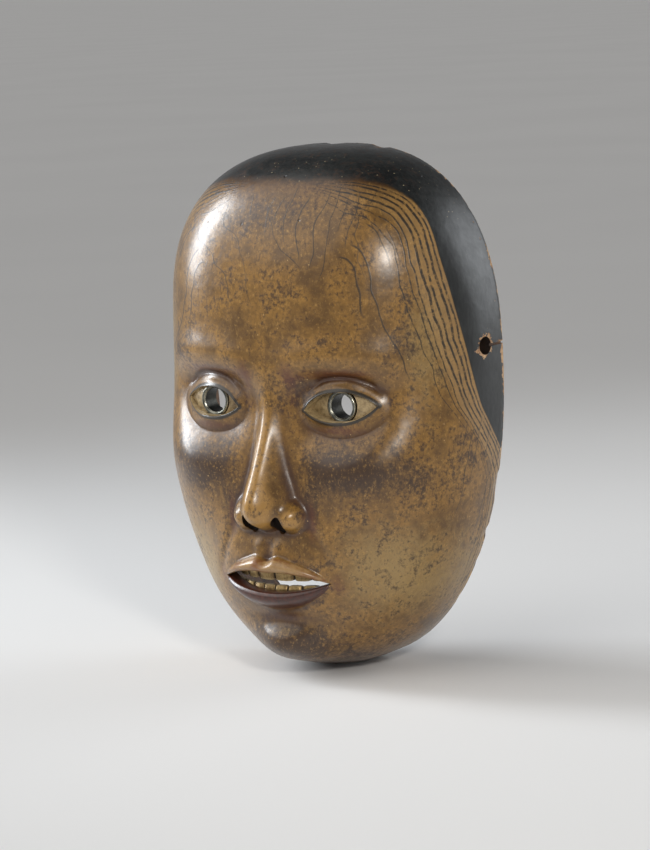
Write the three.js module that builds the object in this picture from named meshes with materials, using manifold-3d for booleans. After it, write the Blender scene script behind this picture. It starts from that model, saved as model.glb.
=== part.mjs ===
// Noh mask. One piece of cypress is carved to a thin shell and lacquered. A metal bush
// lines each pupil, and two gilt copper tooth plates are nailed in a recess behind the lips.
//
// Millimetres, +Z up. The face looks along -Y and its flat back rim lies on y = 0.
// x = 0 is the plane of symmetry and z = 0 is mid-height. A depth is measured forward
// from the rim plane, so a point at depth d has y = -d.

import * as THREE from 'three'
import { mergeVertices } from 'three/addons/utils/BufferGeometryUtils.js'
import Module from 'manifold-3d'

const wasm = await Module()
wasm.setup()

// ---- driving dimensions ---------------------------------------------------------------

const HEIGHT = 212
const WIDTH = 146
const DOME_DEPTH = 62            // the plain shell without its features
const WALL = 7                   // wood at the rim
const WIDEST_Z = 18              // level of the widest section
const CLEARANCE = 0.3            // between two pieces that touch

// The face is set out in equal thirds from chin to hairline.
const CHIN_Z = -HEIGHT / 2
const FACE_THIRD = 0.91 * HEIGHT / 3
const BROW_Z = CHIN_Z + 2 * FACE_THIRD
const NOSE_Z = CHIN_Z + FACE_THIRD
const MOUTH_Z = CHIN_Z + 2 / 3 * FACE_THIRD
const EYE_Z = CHIN_Z + 1.75 * FACE_THIRD
const EYE_X = 30
const EYE_HALF = 14.6            // centre of the eye to either corner
const EYEBALL_DEPTH = 54
const MOUTH_HALF = 25

const BUSH_RADIUS = 6.4
const PUPIL_RADIUS = 4.8
const BUSH_LENGTH = 8
const BUSH_Z = EYE_Z + 0.5
const BUSH_FRONT = EYEBALL_DEPTH + 0.2  // just proud of the eyeball
const CUTTER_BACK = 34           // depth inside the hollow where the cutters for seats start

const TEETH_DEPTH = 62           // front of the tooth plates in the middle
const TEETH_CURVE = 62           // the plates fall back by x * x over this
const PLATE_THICK = 2.2
const TOOTH = { gapCut: 0.9, edgeThinned: 0.5, cornerRaised: 0.6, cells: 5 }
const UPPER_PLATE = {
  name: 'upper_teeth', low: 0.2, high: 9, biting: 'low',
  gaps: [0, 8.5, 15, 22, 27], nailX: 21, nailZ: 6.6
}
const LOWER_PLATE = {
  name: 'lower_teeth', low: -7.6, high: -1.6, biting: 'high',
  gaps: [0, 5.6, 11.4, 17.4, 24], nailX: 10, nailZ: -5.4
}

const NAIL = { radius: 0.6, hole: 0.9, headRadius: 1.5, headHeight: 0.7, inWood: 2, point: 1.2 }
const NOSTRIL = { x: 6.6, depth: 66.5, z: NOSE_Z + 3.4, radii: [3, 4.3, 5.8], tilt: 0.35 }

const CORD_HOLE = { radius: 3.6, depth: 13, z: 27 }
const CORD_GROOVE = { width: 1, cut: 1.3 }

// ---- small maths ----------------------------------------------------------------------

const clamp = (value, low, high) => Math.min(Math.max(value, low), high)

function smooth(from, to, value) {
  const t = clamp((value - from) / (to - from), 0, 1)
  return t * t * (3 - 2 * t)
}

function softMax(a, b, blend) {
  const share = clamp(0.5 + 0.5 * (a - b) / blend, 0, 1)
  return b + (a - b) * share + blend * share * (1 - share)
}

function mound(dx, dz, halfX, halfZ, power = 2) {
  return Math.exp(-(Math.abs(dx / halfX) ** power) - Math.abs(dz / halfZ) ** power)
}

// a smooth curve through [place, value] points
function profile(points) {
  const slopes = points.map((_, k) => {
    const before = points[Math.max(k - 1, 0)]
    const after = points[Math.min(k + 1, points.length - 1)]
    return (after[1] - before[1]) / (after[0] - before[0])
  })
  return place => {
    const at = clamp(place, points[0][0], points.at(-1)[0])
    const k = clamp(points.findIndex(point => point[0] > at) - 1, 0, points.length - 2)
    const n = at >= points.at(-1)[0] ? points.length - 2 : k
    const span = points[n + 1][0] - points[n][0]
    const t = (at - points[n][0]) / span
    const rise = t * t * (3 - 2 * t)
    return points[n][1] * (1 - rise) + points[n + 1][1] * rise
      + span * (slopes[n] * t * (1 - t) ** 2 + slopes[n + 1] * t * t * (t - 1))
  }
}

// ---- outline and plain dome -----------------------------------------------------------

const halfHeight = up => (up ? HEIGHT / 2 - WIDEST_Z : HEIGHT / 2 + WIDEST_Z)

// distance from the middle of the widest section to the outline, towards (across, up)
function outlineRadius(across, up, inset) {
  const power = up >= 0 ? 2.6 : 2.15
  const a = Math.abs(across / (WIDTH / 2 - inset))
  const b = Math.abs(up / (halfHeight(up >= 0) - inset))
  return (a ** power + b ** power) ** (-1 / power)
}

// 0 in the middle of the mask and 1 on its outline
function reach(x, z, inset = 0) {
  const distance = Math.hypot(x, z - WIDEST_Z) + 1e-9
  const outline = outlineRadius(x / distance, (z - WIDEST_Z) / distance, inset)
  return Math.min(distance / outline, 1)
}

function dome(x, z, inset, depth) {
  const rise = z - WIDEST_Z
  const steepness = rise * rise / (x * x + rise * rise + 1e-9)
  const power = 2.3 + ((rise >= 0 ? 3.0 : 3.6) - 2.3) * steepness
  return depth * (1 - reach(x, z, inset) ** power) ** (1 / power)
}

// ---- features of the face, each a depth added to the dome -----------------------------

function broadForms(side, z) {
  const cheekbone = 4.0 * mound(side - 43, z - (EYE_Z - 21), 20, 17)
  const muzzle = 8.0 * mound(side, z - (MOUTH_Z + 2), 27, 20)
  const chin = 12.0 * mound(side, z - (CHIN_Z + 14), 18, 11)
  const chinFold = 3.0 * mound(side, z - (MOUTH_Z - 17), 18, 5)
  const temple = 2.0 * mound(side - 62, z - 38, 14, 26)
  const hollowCheek = 2.2 * mound(side - 42, z - (MOUTH_Z + 11), 13, 19)
  return cheekbone + muzzle + chin - chinFold - temple - hollowCheek
}

// height of the upper and lower lid edges over the eye's centre,
// with place -1 at the inner corner and 1 at the outer one
function lidEdges(place) {
  const s = clamp(place, -1, 1)
  const tilt = 0.9 * s
  const upper = 6.7 * (1 - Math.abs(s + 0.10 * (1 - s * s)) ** 2.3) ** 0.9
  const lower = -5.6 * (1 - Math.abs(s - 0.08 * (1 - s * s)) ** 2.3) ** 0.9
  return { upper: upper + tilt, lower: lower + tilt, tilt }
}

function eyeForms(side, z) {
  const rise = z - (EYE_Z + 2.6)
  const socket = 8.5 * mound(side - EYE_X, rise, 20, rise > 0 ? 10.5 : 20, 2.6)
  const noseRoot = 3.0 * mound(side, z - (EYE_Z + 1.5), 9, 8)
  const browZ = BROW_Z + 1.8 + 2.5 * (1 - ((side - 32) / 26) ** 2)
  const browSpan = smooth(0, 16, side) * (1 - smooth(46, 64, side))
  const brow = 1.8 * browSpan * Math.exp(-(((z - browZ) / 7) ** 2))

  const dx = side - EYE_X
  const dz = z - EYE_Z
  const lids = 7.2 * clamp(1 - (dx / 18.5) ** 2 - ((dz - 0.5) / 12.5) ** 2, 0, 1) ** 1.25
  const place = dx / EYE_HALF
  const { upper, lower } = lidEdges(place)
  const creaseSpan = smooth(-1, -0.5, place) * (1 - smooth(0.75, 1.2, place))
  const crease = 1.3 * creaseSpan * Math.exp(-(((dz - upper - 5) / 1.3) ** 2))
  const fromEdge = Math.max(dz - upper, lower - dz, 0)
  const lidRoll = 0.7 * (1 - smooth(0.93, 1.12, Math.abs(place))) * Math.exp(-((fromEdge / 1.3) ** 2))
  return brow + lids + lidRoll - socket - noseRoot - crease
}

function eyeballDepth(side, z) {
  const dx = side - EYE_X
  const dz = z - EYE_Z
  return EYEBALL_DEPTH - 0.1 * dx * Math.abs(dx) / EYE_HALF - dx * dx / 60 - dz * dz / 36
}

// the bridge seen from the side, as height over the base of the nose against depth
const bridgeDepth = profile([
  [-18, 40], [-6.5, 51], [-3, 58], [0.5, 68], [4.5, 75.5], [9, 78.5], [14.5, 77.6],
  [23.5, 72.5], [35.5, 66.5], [45.5, 62.5], [54.5, 61.5], [65.5, 62], [81, 60]
])
// how round its ridge is, and how steeply its flanks fall away
const bridgeRound = profile([
  [-6, 10], [2, 11], [9, 11.5], [16, 9.5], [30, 7.5], [46, 7], [58, 9], [68, 14], [81, 20]
])
const bridgeSlope = profile([
  [-6, 1.9], [12, 2], [27, 1.9], [42, 1.6], [56, 1.2], [68, 0.8], [81, 0.5]
])

function withNose(depth, side, z) {
  const above = z - NOSE_Z
  const round = bridgeRound(above)
  const bridge = bridgeDepth(above) - Math.hypot(bridgeSlope(above) * side, round) + round
  const wingX = (side - 10.4) / 7.6
  const wingZ = (above - 5.2) / 8.2
  const fromWing = wingX * wingX + wingZ * wingZ
  const wing = 58 + 11.5 * clamp(1 - fromWing, 0, 1) ** 0.8 - 6 * Math.max(Math.sqrt(fromWing) - 0.97, 0)
  const nose = softMax(bridge, wing, 5.5)
  const blend = 3 - 1.2 * mound(side - 17, above - 4, 6, 8)
  const span = (1 - smooth(EYE_Z + 13, EYE_Z + 28, z)) * (1 - smooth(24, 32, side))
  return depth + span * (softMax(depth, nose, blend) - depth)
}

// height of the lip edges over the mouth's line
function lipEdges(x) {
  const t = clamp(Math.abs(x) / MOUTH_HALF, 0, 1)
  const upper = 5.6 * (1 - t ** 2.2) ** 0.9 - 0.5 * Math.exp(-((x / 4) ** 2))
  const lower = -4.3 * (1 - t * t) ** 0.9
  return { upper, lower, t }
}

function mouthForms(x, side, z) {
  const below = NOSE_Z + 6 - z
  const cheekFold = 0.8 * Math.exp(-(((side - 15.5 - 0.5 * below) / 2.6) ** 2))
    * smooth(0, 8, below) * (1 - smooth(18, 32, below))
  const grooveSpan = smooth(NOSE_Z - 3, NOSE_Z - 6.5, z) * smooth(MOUTH_Z + 6, MOUTH_Z + 8.5, z)
  const groove = 0.9 * Math.exp(-((x / 2.3) ** 2)) * grooveSpan
  const grooveEdge = 0.5 * Math.exp(-(((side - 4.4) / 1.8) ** 2)) * grooveSpan

  const dz = z - MOUTH_Z
  const { upper, lower, t } = lipEdges(x)
  const bow = 5 + Math.exp(-(((side - 5) / 4) ** 2)) - 0.9 * Math.exp(-((x / 3) ** 2))
  const upperHeight = Math.max(bow * (1 - t ** 2.5) ** 0.8, 0.3)
  const lowerHeight = Math.max(7.6 * (1 - t ** 2.3) ** 0.8, 0.3)
  const fullness = (1 - t ** 3) ** 0.7
  const upperLip = 3.4 * Math.sin(Math.PI * clamp(0.24 + 0.76 * (dz - upper) / upperHeight, 0, 1))
  const lowerLip = 4.2 * Math.sin(Math.PI * clamp(0.22 + 0.78 * (lower - dz) / lowerHeight, 0, 1))
  const lip = fullness * (dz > (upper + lower) / 2 ? upperLip : lowerLip)
  return grooveEdge + lip - groove - cheekFold
}

// depth of the carved front at (x, z), with the plain dome kept next to the rim
function frontDepth(x, z) {
  const side = Math.hypot(x, 0.5)
  const plain = dome(x, z, 0, DOME_DEPTH)
  const sculpted = plain + broadForms(side, z) + eyeForms(side, z)
  const carved = withNose(sculpted, side, z) + mouthForms(x, side, z)
  return plain + (carved - plain) * (1 - smooth(0.93, 0.995, reach(x, z)))
}

// depth of the hollow back, which follows the face loosely
function backDepth(x, z) {
  const side = Math.abs(x)
  const hollow = dome(x, z, WALL, DOME_DEPTH - WALL - 2)
  const nose = 7 * mound(side, z - (NOSE_Z + 14), 11, 24)
  const muzzle = 5 * mound(side, z - (MOUTH_Z + 2), 24, 18)
  const chin = 4 * mound(side, z - (CHIN_Z + 18), 15, 10)
  const socket = 4 * mound(side - EYE_X, z - EYE_Z, 19, 16)
  const shaped = hollow + nose + muzzle + chin - socket
  return hollow + (shaped - hollow) * (1 - smooth(0.8, 0.99, reach(x, z, WALL)))
}

// ---- surfaces as triangles ------------------------------------------------------------

const at = (x, depth, z) => new THREE.Vector3(x, -depth, z)
const LATHE_AXIS = new THREE.Vector3(0, 1, 0)   // axis of three's cylinders and turned shapes

class Skin {
  constructor() {
    this.corners = []
  }

  triangle(a, b, c) {
    this.corners.push(a, b, c)
  }

  // split along its shorter diagonal
  quad(a, b, c, d) {
    if (a.distanceTo(c) <= b.distanceTo(d)) {
      this.triangle(a, b, c)
      this.triangle(a, c, d)
    } else {
      this.triangle(a, b, d)
      this.triangle(b, c, d)
    }
  }

  // the band between two rows of points, with its front to the right of the rows' direction
  band(row, next) {
    for (let k = 0; k + 1 < row.length; k++) this.quad(row[k], row[k + 1], next[k + 1], next[k])
  }

  // the band between two closed loops
  collar(loop, next) {
    this.band([...loop, loop[0]], [...next, next[0]])
  }

  cap(loop, centre) {
    loop.forEach((point, k) => this.triangle(point, loop[(k + 1) % loop.length], centre))
  }

  // a flat face at one depth between an outer loop and a hole in it, facing backwards
  ring(outer, hole) {
    const flatten = loop => loop.map(point => new THREE.Vector2(point.x, point.z))
    const all = [...outer, ...hole]
    const flat = flatten(all)
    for (const [a, b, c] of THREE.ShapeUtils.triangulateShape(flatten(outer), [flatten(hole)])) {
      if (THREE.ShapeUtils.area([flat[a], flat[b], flat[c]]) > 0) this.triangle(all[a], all[c], all[b])
      else this.triangle(all[a], all[b], all[c])
    }
  }

  geometry() {
    return new THREE.BufferGeometry().setFromPoints(this.corners)
  }
}

// ---- booleans -------------------------------------------------------------------------

function toSolid(geometry) {
  const bare = geometry.index ? geometry.toNonIndexed() : geometry.clone()
  bare.deleteAttribute('normal')
  bare.deleteAttribute('uv')
  const merged = mergeVertices(bare, 1e-5)
  const mesh = new wasm.Mesh({
    numProp: 3,
    vertProperties: new Float32Array(merged.attributes.position.array),
    triVerts: new Uint32Array(merged.index.array)
  })
  return new wasm.Manifold(mesh)
}

function toGeometry(solid) {
  const mesh = solid.getMesh()
  const geometry = new THREE.BufferGeometry()
  geometry.setAttribute('position', new THREE.BufferAttribute(mesh.vertProperties, 3))
  geometry.setIndex(new THREE.BufferAttribute(mesh.triVerts, 1))
  geometry.computeVertexNormals()
  return geometry
}

function cutAway(geometry, cutters) {
  return toGeometry(cutters.reduce((solid, cutter) => solid.subtract(toSolid(cutter)), toSolid(geometry)))
}

// ---- front of the shell ---------------------------------------------------------------

// values from [start, cells] spans, each running to the start of the next
function stations(spans) {
  const values = [spans[0][0]]
  for (let k = 0; k + 1 < spans.length; k++) {
    const [start, cells] = spans[k]
    const length = spans[k + 1][0] - start
    for (let n = 1; n <= cells; n++) values.push(start + length * n / cells)
  }
  return values
}

// A sheet over the outline is ruled by u across and v up, both -1 to 1. Even steps in u
// and v give finer steps near the rim, where the dome is steep.
const toParameter = (distance, half) => 2 / Math.PI * Math.asin(distance / half)
const fromParameter = (parameter, half) => half * Math.sin(Math.PI / 2 * parameter)

// the point that the round outline map gives u and v
function roundPlace(u, v, inset) {
  const a = u * Math.sqrt(1 - v * v / 2)
  const b = v * Math.sqrt(1 - u * u / 2)
  const rho = fromParameter(Math.min(Math.hypot(a, b), 1), 1)
  if (rho === 0) return { x: 0, z: WIDEST_Z, rho }
  const dx = a * (WIDTH / 2 - inset)
  const dz = b * (halfHeight(v >= 0) - inset)
  const length = Math.hypot(dx, dz)
  const radius = rho * outlineRadius(dx / length, dz / length, inset)
  return { x: radius * dx / length, z: WIDEST_Z + radius * dz / length, rho }
}

// upright columns and level rows in the middle of the face, turning into the outline
function facePlace(u, v) {
  const round = roundPlace(u, v, 0)
  const straight = 1 - smooth(0.74, 0.97, round.rho)
  const x = fromParameter(u, WIDTH / 2)
  const z = WIDEST_Z + fromParameter(v, halfHeight(v >= 0))
  return { x: round.x + (x - round.x) * straight, z: round.z + (z - round.z) * straight }
}

// The rows through the eyes and through the mouth are doubled. Their two copies are drawn
// apart to the edges of the lids and of the lips, and the rows near them follow.
function drawApart(place, copy) {
  const near = (level, range) => clamp(1 - Math.abs(place.z - level) / range, 0, 1) ** 2
  const above = level => (Math.abs(place.z - level) > 1e-6 ? place.z > level : copy > 0)
  const eye = (Math.abs(place.x) - EYE_X) / EYE_HALF
  const lids = lidEdges(eye)
  const closed = lids.tilt * (1 - smooth(1, 1.6, Math.abs(eye)))
  const lidEdge = above(EYE_Z) ? lids.upper : lids.lower
  const lips = lipEdges(place.x)
  const lipEdge = above(MOUTH_Z) ? lips.upper : lips.lower
  const eyeShift = (Math.abs(eye) < 1 ? lidEdge : closed) * near(EYE_Z, 17)
  const mouthShift = (lips.t < 1 ? lipEdge : 0) * near(MOUTH_Z, 15)
  return { x: place.x, z: place.z + eyeShift + mouthShift }
}

const WALL_START = 0.9           // where the side walls begin, as a share of the half width
const halfColumns = [
  ...stations([
    [0, 6], [EYE_X - EYE_HALF, 4], [MOUTH_HALF, 7], [EYE_X + EYE_HALF, 5], [WALL_START * WIDTH / 2]
  ]).map(x => toParameter(x, WIDTH / 2)),
  ...stations([[toParameter(WALL_START, 1), 4], [1]]).slice(1)
]
const columns = [...halfColumns.slice(1).reverse().map(u => -u), ...halfColumns]

const LOWEST_ROW = CHIN_Z + 8
const HIGHEST_ROW = HEIGHT / 2 - 13
const levels = stations([
  [LOWEST_ROW, 5], [MOUTH_Z - 16, 6], [MOUTH_Z, 6], [NOSE_Z - 5, 9], [NOSE_Z + 16, 5],
  [EYE_Z - 13, 5], [EYE_Z, 6], [EYE_Z + 15, 4], [EYE_Z + 30, 7], [HIGHEST_ROW]
])
const levelParameter = z => toParameter(z - WIDEST_Z, halfHeight(z >= WIDEST_Z))

// one row for each level, and two for the levels of the eyes and of the mouth
const rows = [
  ...stations([[-1, 4], [levelParameter(LOWEST_ROW)]]).slice(0, -1).map(v => ({ v, copy: 0 })),
  ...levels.flatMap(z => {
    const slit = z === EYE_Z || z === MOUTH_Z
    return (slit ? [-1, 1] : [0]).map(copy => ({ v: levelParameter(z), copy }))
  }),
  ...stations([[levelParameter(HIGHEST_ROW), 4], [1]]).slice(1).map(v => ({ v, copy: 0 }))
]

function frontGrid() {
  return rows.map(row => columns.map(u => {
    const place = drawApart(facePlace(u, row.v), row.copy)
    const onOutline = Math.abs(u) === 1 || Math.abs(row.v) === 1
    return at(place.x, onOutline ? 0 : frontDepth(place.x, place.z), place.z)
  }))
}

// the opening between two copies of a row, from one column to another, once round
function openingLoop(grid, level, fromX, toX) {
  const lower = rows.findIndex(row => row.copy < 0 && row.v === levelParameter(level))
  const column = x => columns.indexOf(Math.sign(x) * toParameter(Math.abs(x), WIDTH / 2))
  const [first, last] = [column(fromX), column(toX)]
  return [...grid[lower].slice(first, last + 1), ...grid[lower + 1].slice(first + 1, last).reverse()]
}

// a loop drawn in towards a centre, with its depth from a function of its points
function drawnIn(loop, centre, share, depthAt) {
  return loop.map(point => {
    const x = point.x + (centre.x - point.x) * share
    const z = point.z + (centre.z - point.z) * share
    return at(x, depthAt(x, z), z)
  })
}

const archDepth = x => TEETH_DEPTH - x * x / TEETH_CURVE

function gridBorder(grid) {
  const across = grid[0].length - 1
  return [
    ...grid[0].slice(0, across),
    ...grid.slice(0, -1).map(row => row[across]),
    ...grid.at(-1).slice(1).reverse(),
    ...grid.slice(1).reverse().map(row => row[0])
  ]
}

// ---- the shell ------------------------------------------------------------------------

function backGrid() {
  const steps = count => stations([[-1, count], [1]])
  return steps(26).map(v => steps(20).map(u => {
    const place = roundPlace(u, v, WALL)
    const onOutline = Math.abs(u) === 1 || Math.abs(v) === 1
    return at(place.x, onOutline ? 0 : backDepth(place.x, place.z), place.z)
  }))
}

function shellSkin() {
  const skin = new Skin()
  const front = frontGrid()
  for (let k = 0; k + 1 < front.length; k++) {
    if (rows[k].copy >= 0) skin.band(front[k], front[k + 1])
  }
  for (const side of [-1, 1]) {
    const ends = [side * (EYE_X - EYE_HALF), side * (EYE_X + EYE_HALF)].sort((a, b) => a - b)
    const lids = openingLoop(front, EYE_Z, ...ends)
    const centre = at(side * EYE_X, EYEBALL_DEPTH, BUSH_Z)
    const ball = (x, z) => eyeballDepth(Math.abs(x), z)
    const loops = [lids, ...[0.06, 0.3, 0.6].map(share => drawnIn(lids, centre, share, ball))]
    for (let k = 0; k + 1 < loops.length; k++) skin.collar(loops[k], loops[k + 1])
    skin.cap(loops.at(-1), centre)
  }
  const lips = openingLoop(front, MOUTH_Z, -MOUTH_HALF, MOUTH_HALF)
  const mouthBottom = x => archDepth(x) - 3
  const inner = drawnIn(lips, at(0, 0, MOUTH_Z), 0.04, mouthBottom)
  skin.collar(lips, inner)
  skin.cap(inner, at(0, mouthBottom(0), MOUTH_Z))

  const back = backGrid()
  for (let k = 0; k + 1 < back.length; k++) skin.band(back[k + 1], back[k])
  skin.ring(gridBorder(front), gridBorder(back))
  return skin
}

// a cylinder from one point to another
function rod(from, to, radius, segments = 32) {
  const axis = to.clone().sub(from)
  const turn = new THREE.Quaternion().setFromUnitVectors(LATHE_AXIS, axis.clone().normalize())
  const middle = from.clone().add(to).multiplyScalar(0.5)
  return new THREE.CylinderGeometry(radius, radius, axis.length(), segments)
    .applyQuaternion(turn).translate(middle.x, middle.y, middle.z)
}

function bushSeat(side) {
  const end = depth => at(side * EYE_X, depth, BUSH_Z)
  return rod(end(CUTTER_BACK), end(BUSH_FRONT + CLEARANCE), BUSH_RADIUS + CLEARANCE, 40)
}

// a nostril is a pit with an egg-shaped section, rising into the nose and closed at its top
function nostril(side) {
  return new THREE.SphereGeometry(1, 18, 12).scale(...NOSTRIL.radii).rotateX(NOSTRIL.tilt)
    .translate(side * NOSTRIL.x, -NOSTRIL.depth, NOSTRIL.z)
}

// the recess behind the lips that both tooth plates sit in
function toothRecess() {
  const half = UPPER_PLATE.gaps.at(-1) + CLEARANCE
  const outline = stations([[-half, 22], [half]]).map(x => new THREE.Vector2(x, -archDepth(x) - CLEARANCE))
  outline.push(new THREE.Vector2(half, -CUTTER_BACK), new THREE.Vector2(-half, -CUTTER_BACK))
  const height = UPPER_PLATE.high - LOWER_PLATE.low + 2 * CLEARANCE
  return new THREE.ExtrudeGeometry(new THREE.Shape(outline), { depth: height, bevelEnabled: false })
    .translate(0, 0, MOUTH_Z + LOWER_PLATE.low - CLEARANCE)
}

function cordHole(side) {
  const end = x => at(side * x, CORD_HOLE.depth, CORD_HOLE.z)
  return rod(end(WIDTH / 2 - 3 * WALL), end(WIDTH / 2 + WALL), CORD_HOLE.radius)
}

// the line that the cord has worn from its hole back to the rim
function cordGroove(side) {
  const cutter = new THREE.BoxGeometry(2 * CORD_GROOVE.cut, CORD_HOLE.depth + 2, CORD_GROOVE.width)
  return cutter.translate(side * WIDTH / 2, -CORD_HOLE.depth / 2 + 1, CORD_HOLE.z)
}

// ---- tooth plates ---------------------------------------------------------------------

// columns of a plate with the share of the tooth that each lies at, 0 and 1 being gaps
function toothColumns(gaps) {
  const right = []
  for (let k = 0; k + 1 < gaps.length; k++) {
    for (let n = k ? 1 : 0; n <= TOOTH.cells; n++) {
      const share = n / TOOTH.cells
      right.push({ x: gaps[k] + (gaps[k + 1] - gaps[k]) * share, share })
    }
  }
  const left = right.slice(1).reverse().map(({ x, share }) => ({ x: -x, share }))
  return [...left, ...right]
}

function plateSkin(plate) {
  const height = plate.high - plate.low
  const bodies = toothColumns(plate.gaps)
  const heights = stations([[0, 4], [1]])
  const surface = front => heights.map(h => bodies.map(({ x, share }) => {
    const swell = (1 - Math.abs(2 * share - 1) ** 3) ** 0.6
    const fromEdge = plate.biting === 'low' ? h : 1 - h
    const shortened = TOOTH.cornerRaised * (1 - swell) * (1 - fromEdge)
    const z = plate.low + height * h + (plate.biting === 'low' ? shortened : -shortened)
    const groove = TOOTH.gapCut * (1 - swell) + TOOTH.edgeThinned * (1 - smooth(0, 0.3, fromEdge))
    return at(x, archDepth(x) - (front ? groove : PLATE_THICK), MOUTH_Z + z)
  }))
  const [front, back] = [surface(true), surface(false)]
  const skin = new Skin()
  for (let k = 0; k + 1 < heights.length; k++) {
    skin.band(front[k], front[k + 1])
    skin.band(back[k + 1], back[k])
  }
  skin.collar(gridBorder(back), gridBorder(front))
  return skin
}

// ---- nails ----------------------------------------------------------------------------

// middle of a nail's place on the back of its plate, and the way it points, into the wood
function nailPlace(plate, side) {
  const x = side * plate.nailX
  const onPlate = at(x, archDepth(x) - PLATE_THICK, MOUTH_Z + plate.nailZ)
  const inwards = new THREE.Vector3(2 * x / TEETH_CURVE, -1, 0).normalize()
  return { onPlate, inwards }
}

function nailBore({ onPlate, inwards }) {
  const plateAlong = PLATE_THICK * Math.abs(inwards.y)
  const length = plateAlong + 2 * CLEARANCE + NAIL.inWood
  return rod(
    onPlate.clone().addScaledVector(inwards, -1),
    onPlate.clone().addScaledVector(inwards, length + CLEARANCE),
    NAIL.hole, 16
  )
}

function nailMesh(name, { onPlate, inwards }) {
  const length = PLATE_THICK * Math.abs(inwards.y) + CLEARANCE + NAIL.inWood
  const outline = [
    [0, -CLEARANCE - NAIL.headHeight],
    [0.6 * NAIL.headRadius, -CLEARANCE - 0.85 * NAIL.headHeight],
    [NAIL.headRadius, -CLEARANCE - 0.3 * NAIL.headHeight],
    [NAIL.headRadius, -CLEARANCE],
    [NAIL.radius, -CLEARANCE],
    [NAIL.radius, length - NAIL.point],
    [0, length]
  ].map(([radius, along]) => new THREE.Vector2(radius, along))
  const mesh = new THREE.Mesh(new THREE.LatheGeometry(outline, 16), copper)
  mesh.name = name
  mesh.position.copy(onPlate)
  mesh.quaternion.setFromUnitVectors(LATHE_AXIS, inwards)
  return mesh
}

// ---- materials ------------------------------------------------------------------------

const material = (color, roughness, metalness) => (
  new THREE.MeshStandardMaterial({ color, roughness, metalness })
)
const lacqueredWood = material('#7a5c36', 0.35, 0)
const darkMetal = material('#5a5a55', 0.4, 0.9)
const giltCopper = material('#8f7443', 0.4, 0.8)
const copper = material('#6e4a30', 0.5, 0.8)

// ---- the assembly ---------------------------------------------------------------------

const mask = new THREE.Group()
const sides = [['left', -1], ['right', 1]]
const plates = [UPPER_PLATE, LOWER_PLATE]

function addMesh(name, geometry, surface) {
  const mesh = new THREE.Mesh(geometry, surface)
  mesh.name = name
  mask.add(mesh)
  return mesh
}

const nailPlaces = plates.flatMap(plate => sides.map(([word, side]) => (
  { name: `${plate.name}_nail_${word}`, plate, place: nailPlace(plate, side) }
)))

const shellCutters = [
  toothRecess(),
  ...sides.flatMap(([, side]) => [bushSeat(side), nostril(side), cordHole(side), cordGroove(side)]),
  ...nailPlaces.map(({ place }) => nailBore(place))
]
addMesh('mask_body', cutAway(shellSkin().geometry(), shellCutters), lacqueredWood)

for (const plate of plates) {
  const bores = nailPlaces.filter(nail => nail.plate === plate).map(({ place }) => nailBore(place))
  addMesh(plate.name, cutAway(plateSkin(plate).geometry(), bores), giltCopper)
}
for (const { name, place } of nailPlaces) mask.add(nailMesh(name, place))

// a bush is turned on the lathe, with its bore countersunk, and faces forward
for (const [word, side] of sides) {
  const outline = [
    [PUPIL_RADIUS, 0],
    [BUSH_RADIUS, 0],
    [BUSH_RADIUS, BUSH_LENGTH - 0.5],
    [BUSH_RADIUS - 0.35, BUSH_LENGTH],
    [PUPIL_RADIUS + 0.75, BUSH_LENGTH],
    [PUPIL_RADIUS, BUSH_LENGTH - 0.9],
    [PUPIL_RADIUS, 0]
  ].map(([radius, along]) => new THREE.Vector2(radius, along))
  const bush = addMesh(`pupil_bush_${word}`, new THREE.LatheGeometry(outline, 40), darkMetal)
  bush.rotation.x = Math.PI
  bush.position.copy(at(side * EYE_X, BUSH_FRONT - BUSH_LENGTH, BUSH_Z))
}

export default mask
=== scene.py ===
import math

import bmesh
import bpy
import numpy as np
from mathutils import Matrix, Quaternion, Vector, noise
from mathutils.bvhtree import BVHTree


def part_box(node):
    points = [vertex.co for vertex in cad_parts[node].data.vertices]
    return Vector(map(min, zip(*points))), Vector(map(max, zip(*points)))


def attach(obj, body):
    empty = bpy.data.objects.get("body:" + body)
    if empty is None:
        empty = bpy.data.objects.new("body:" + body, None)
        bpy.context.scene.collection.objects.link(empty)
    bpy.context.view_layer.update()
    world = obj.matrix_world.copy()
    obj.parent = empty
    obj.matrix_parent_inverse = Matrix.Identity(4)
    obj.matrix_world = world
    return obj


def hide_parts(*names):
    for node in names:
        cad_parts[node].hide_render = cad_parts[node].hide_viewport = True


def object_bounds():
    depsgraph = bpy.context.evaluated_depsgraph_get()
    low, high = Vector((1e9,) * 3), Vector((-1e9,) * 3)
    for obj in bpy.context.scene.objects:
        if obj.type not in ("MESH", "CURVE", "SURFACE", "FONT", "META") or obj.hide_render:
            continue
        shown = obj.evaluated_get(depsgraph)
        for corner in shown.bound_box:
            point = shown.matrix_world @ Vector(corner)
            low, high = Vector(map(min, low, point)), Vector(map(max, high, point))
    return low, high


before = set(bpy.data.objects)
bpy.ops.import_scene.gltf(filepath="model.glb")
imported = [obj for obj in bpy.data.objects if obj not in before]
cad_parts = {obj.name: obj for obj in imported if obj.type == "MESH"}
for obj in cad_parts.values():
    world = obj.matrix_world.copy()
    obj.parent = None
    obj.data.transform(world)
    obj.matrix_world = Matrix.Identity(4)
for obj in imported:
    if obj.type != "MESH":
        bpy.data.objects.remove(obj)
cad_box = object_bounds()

# Noh mask: the carved, lacquered shell, its pupil bushes and the gilt tooth plates with their
# nails. Lengths are millimetres until they reach a mesh, which is in metres. The face looks
# along -Y, its back rim lies on y = 0, and a point at depth d has y = -d.

MM = 0.001
SIDES = {"left": -1, "right": 1}


def box_mm(node):
    low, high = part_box(node)
    return np.array(low) / MM, np.array(high) / MM


# ---- sizes ----

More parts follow.
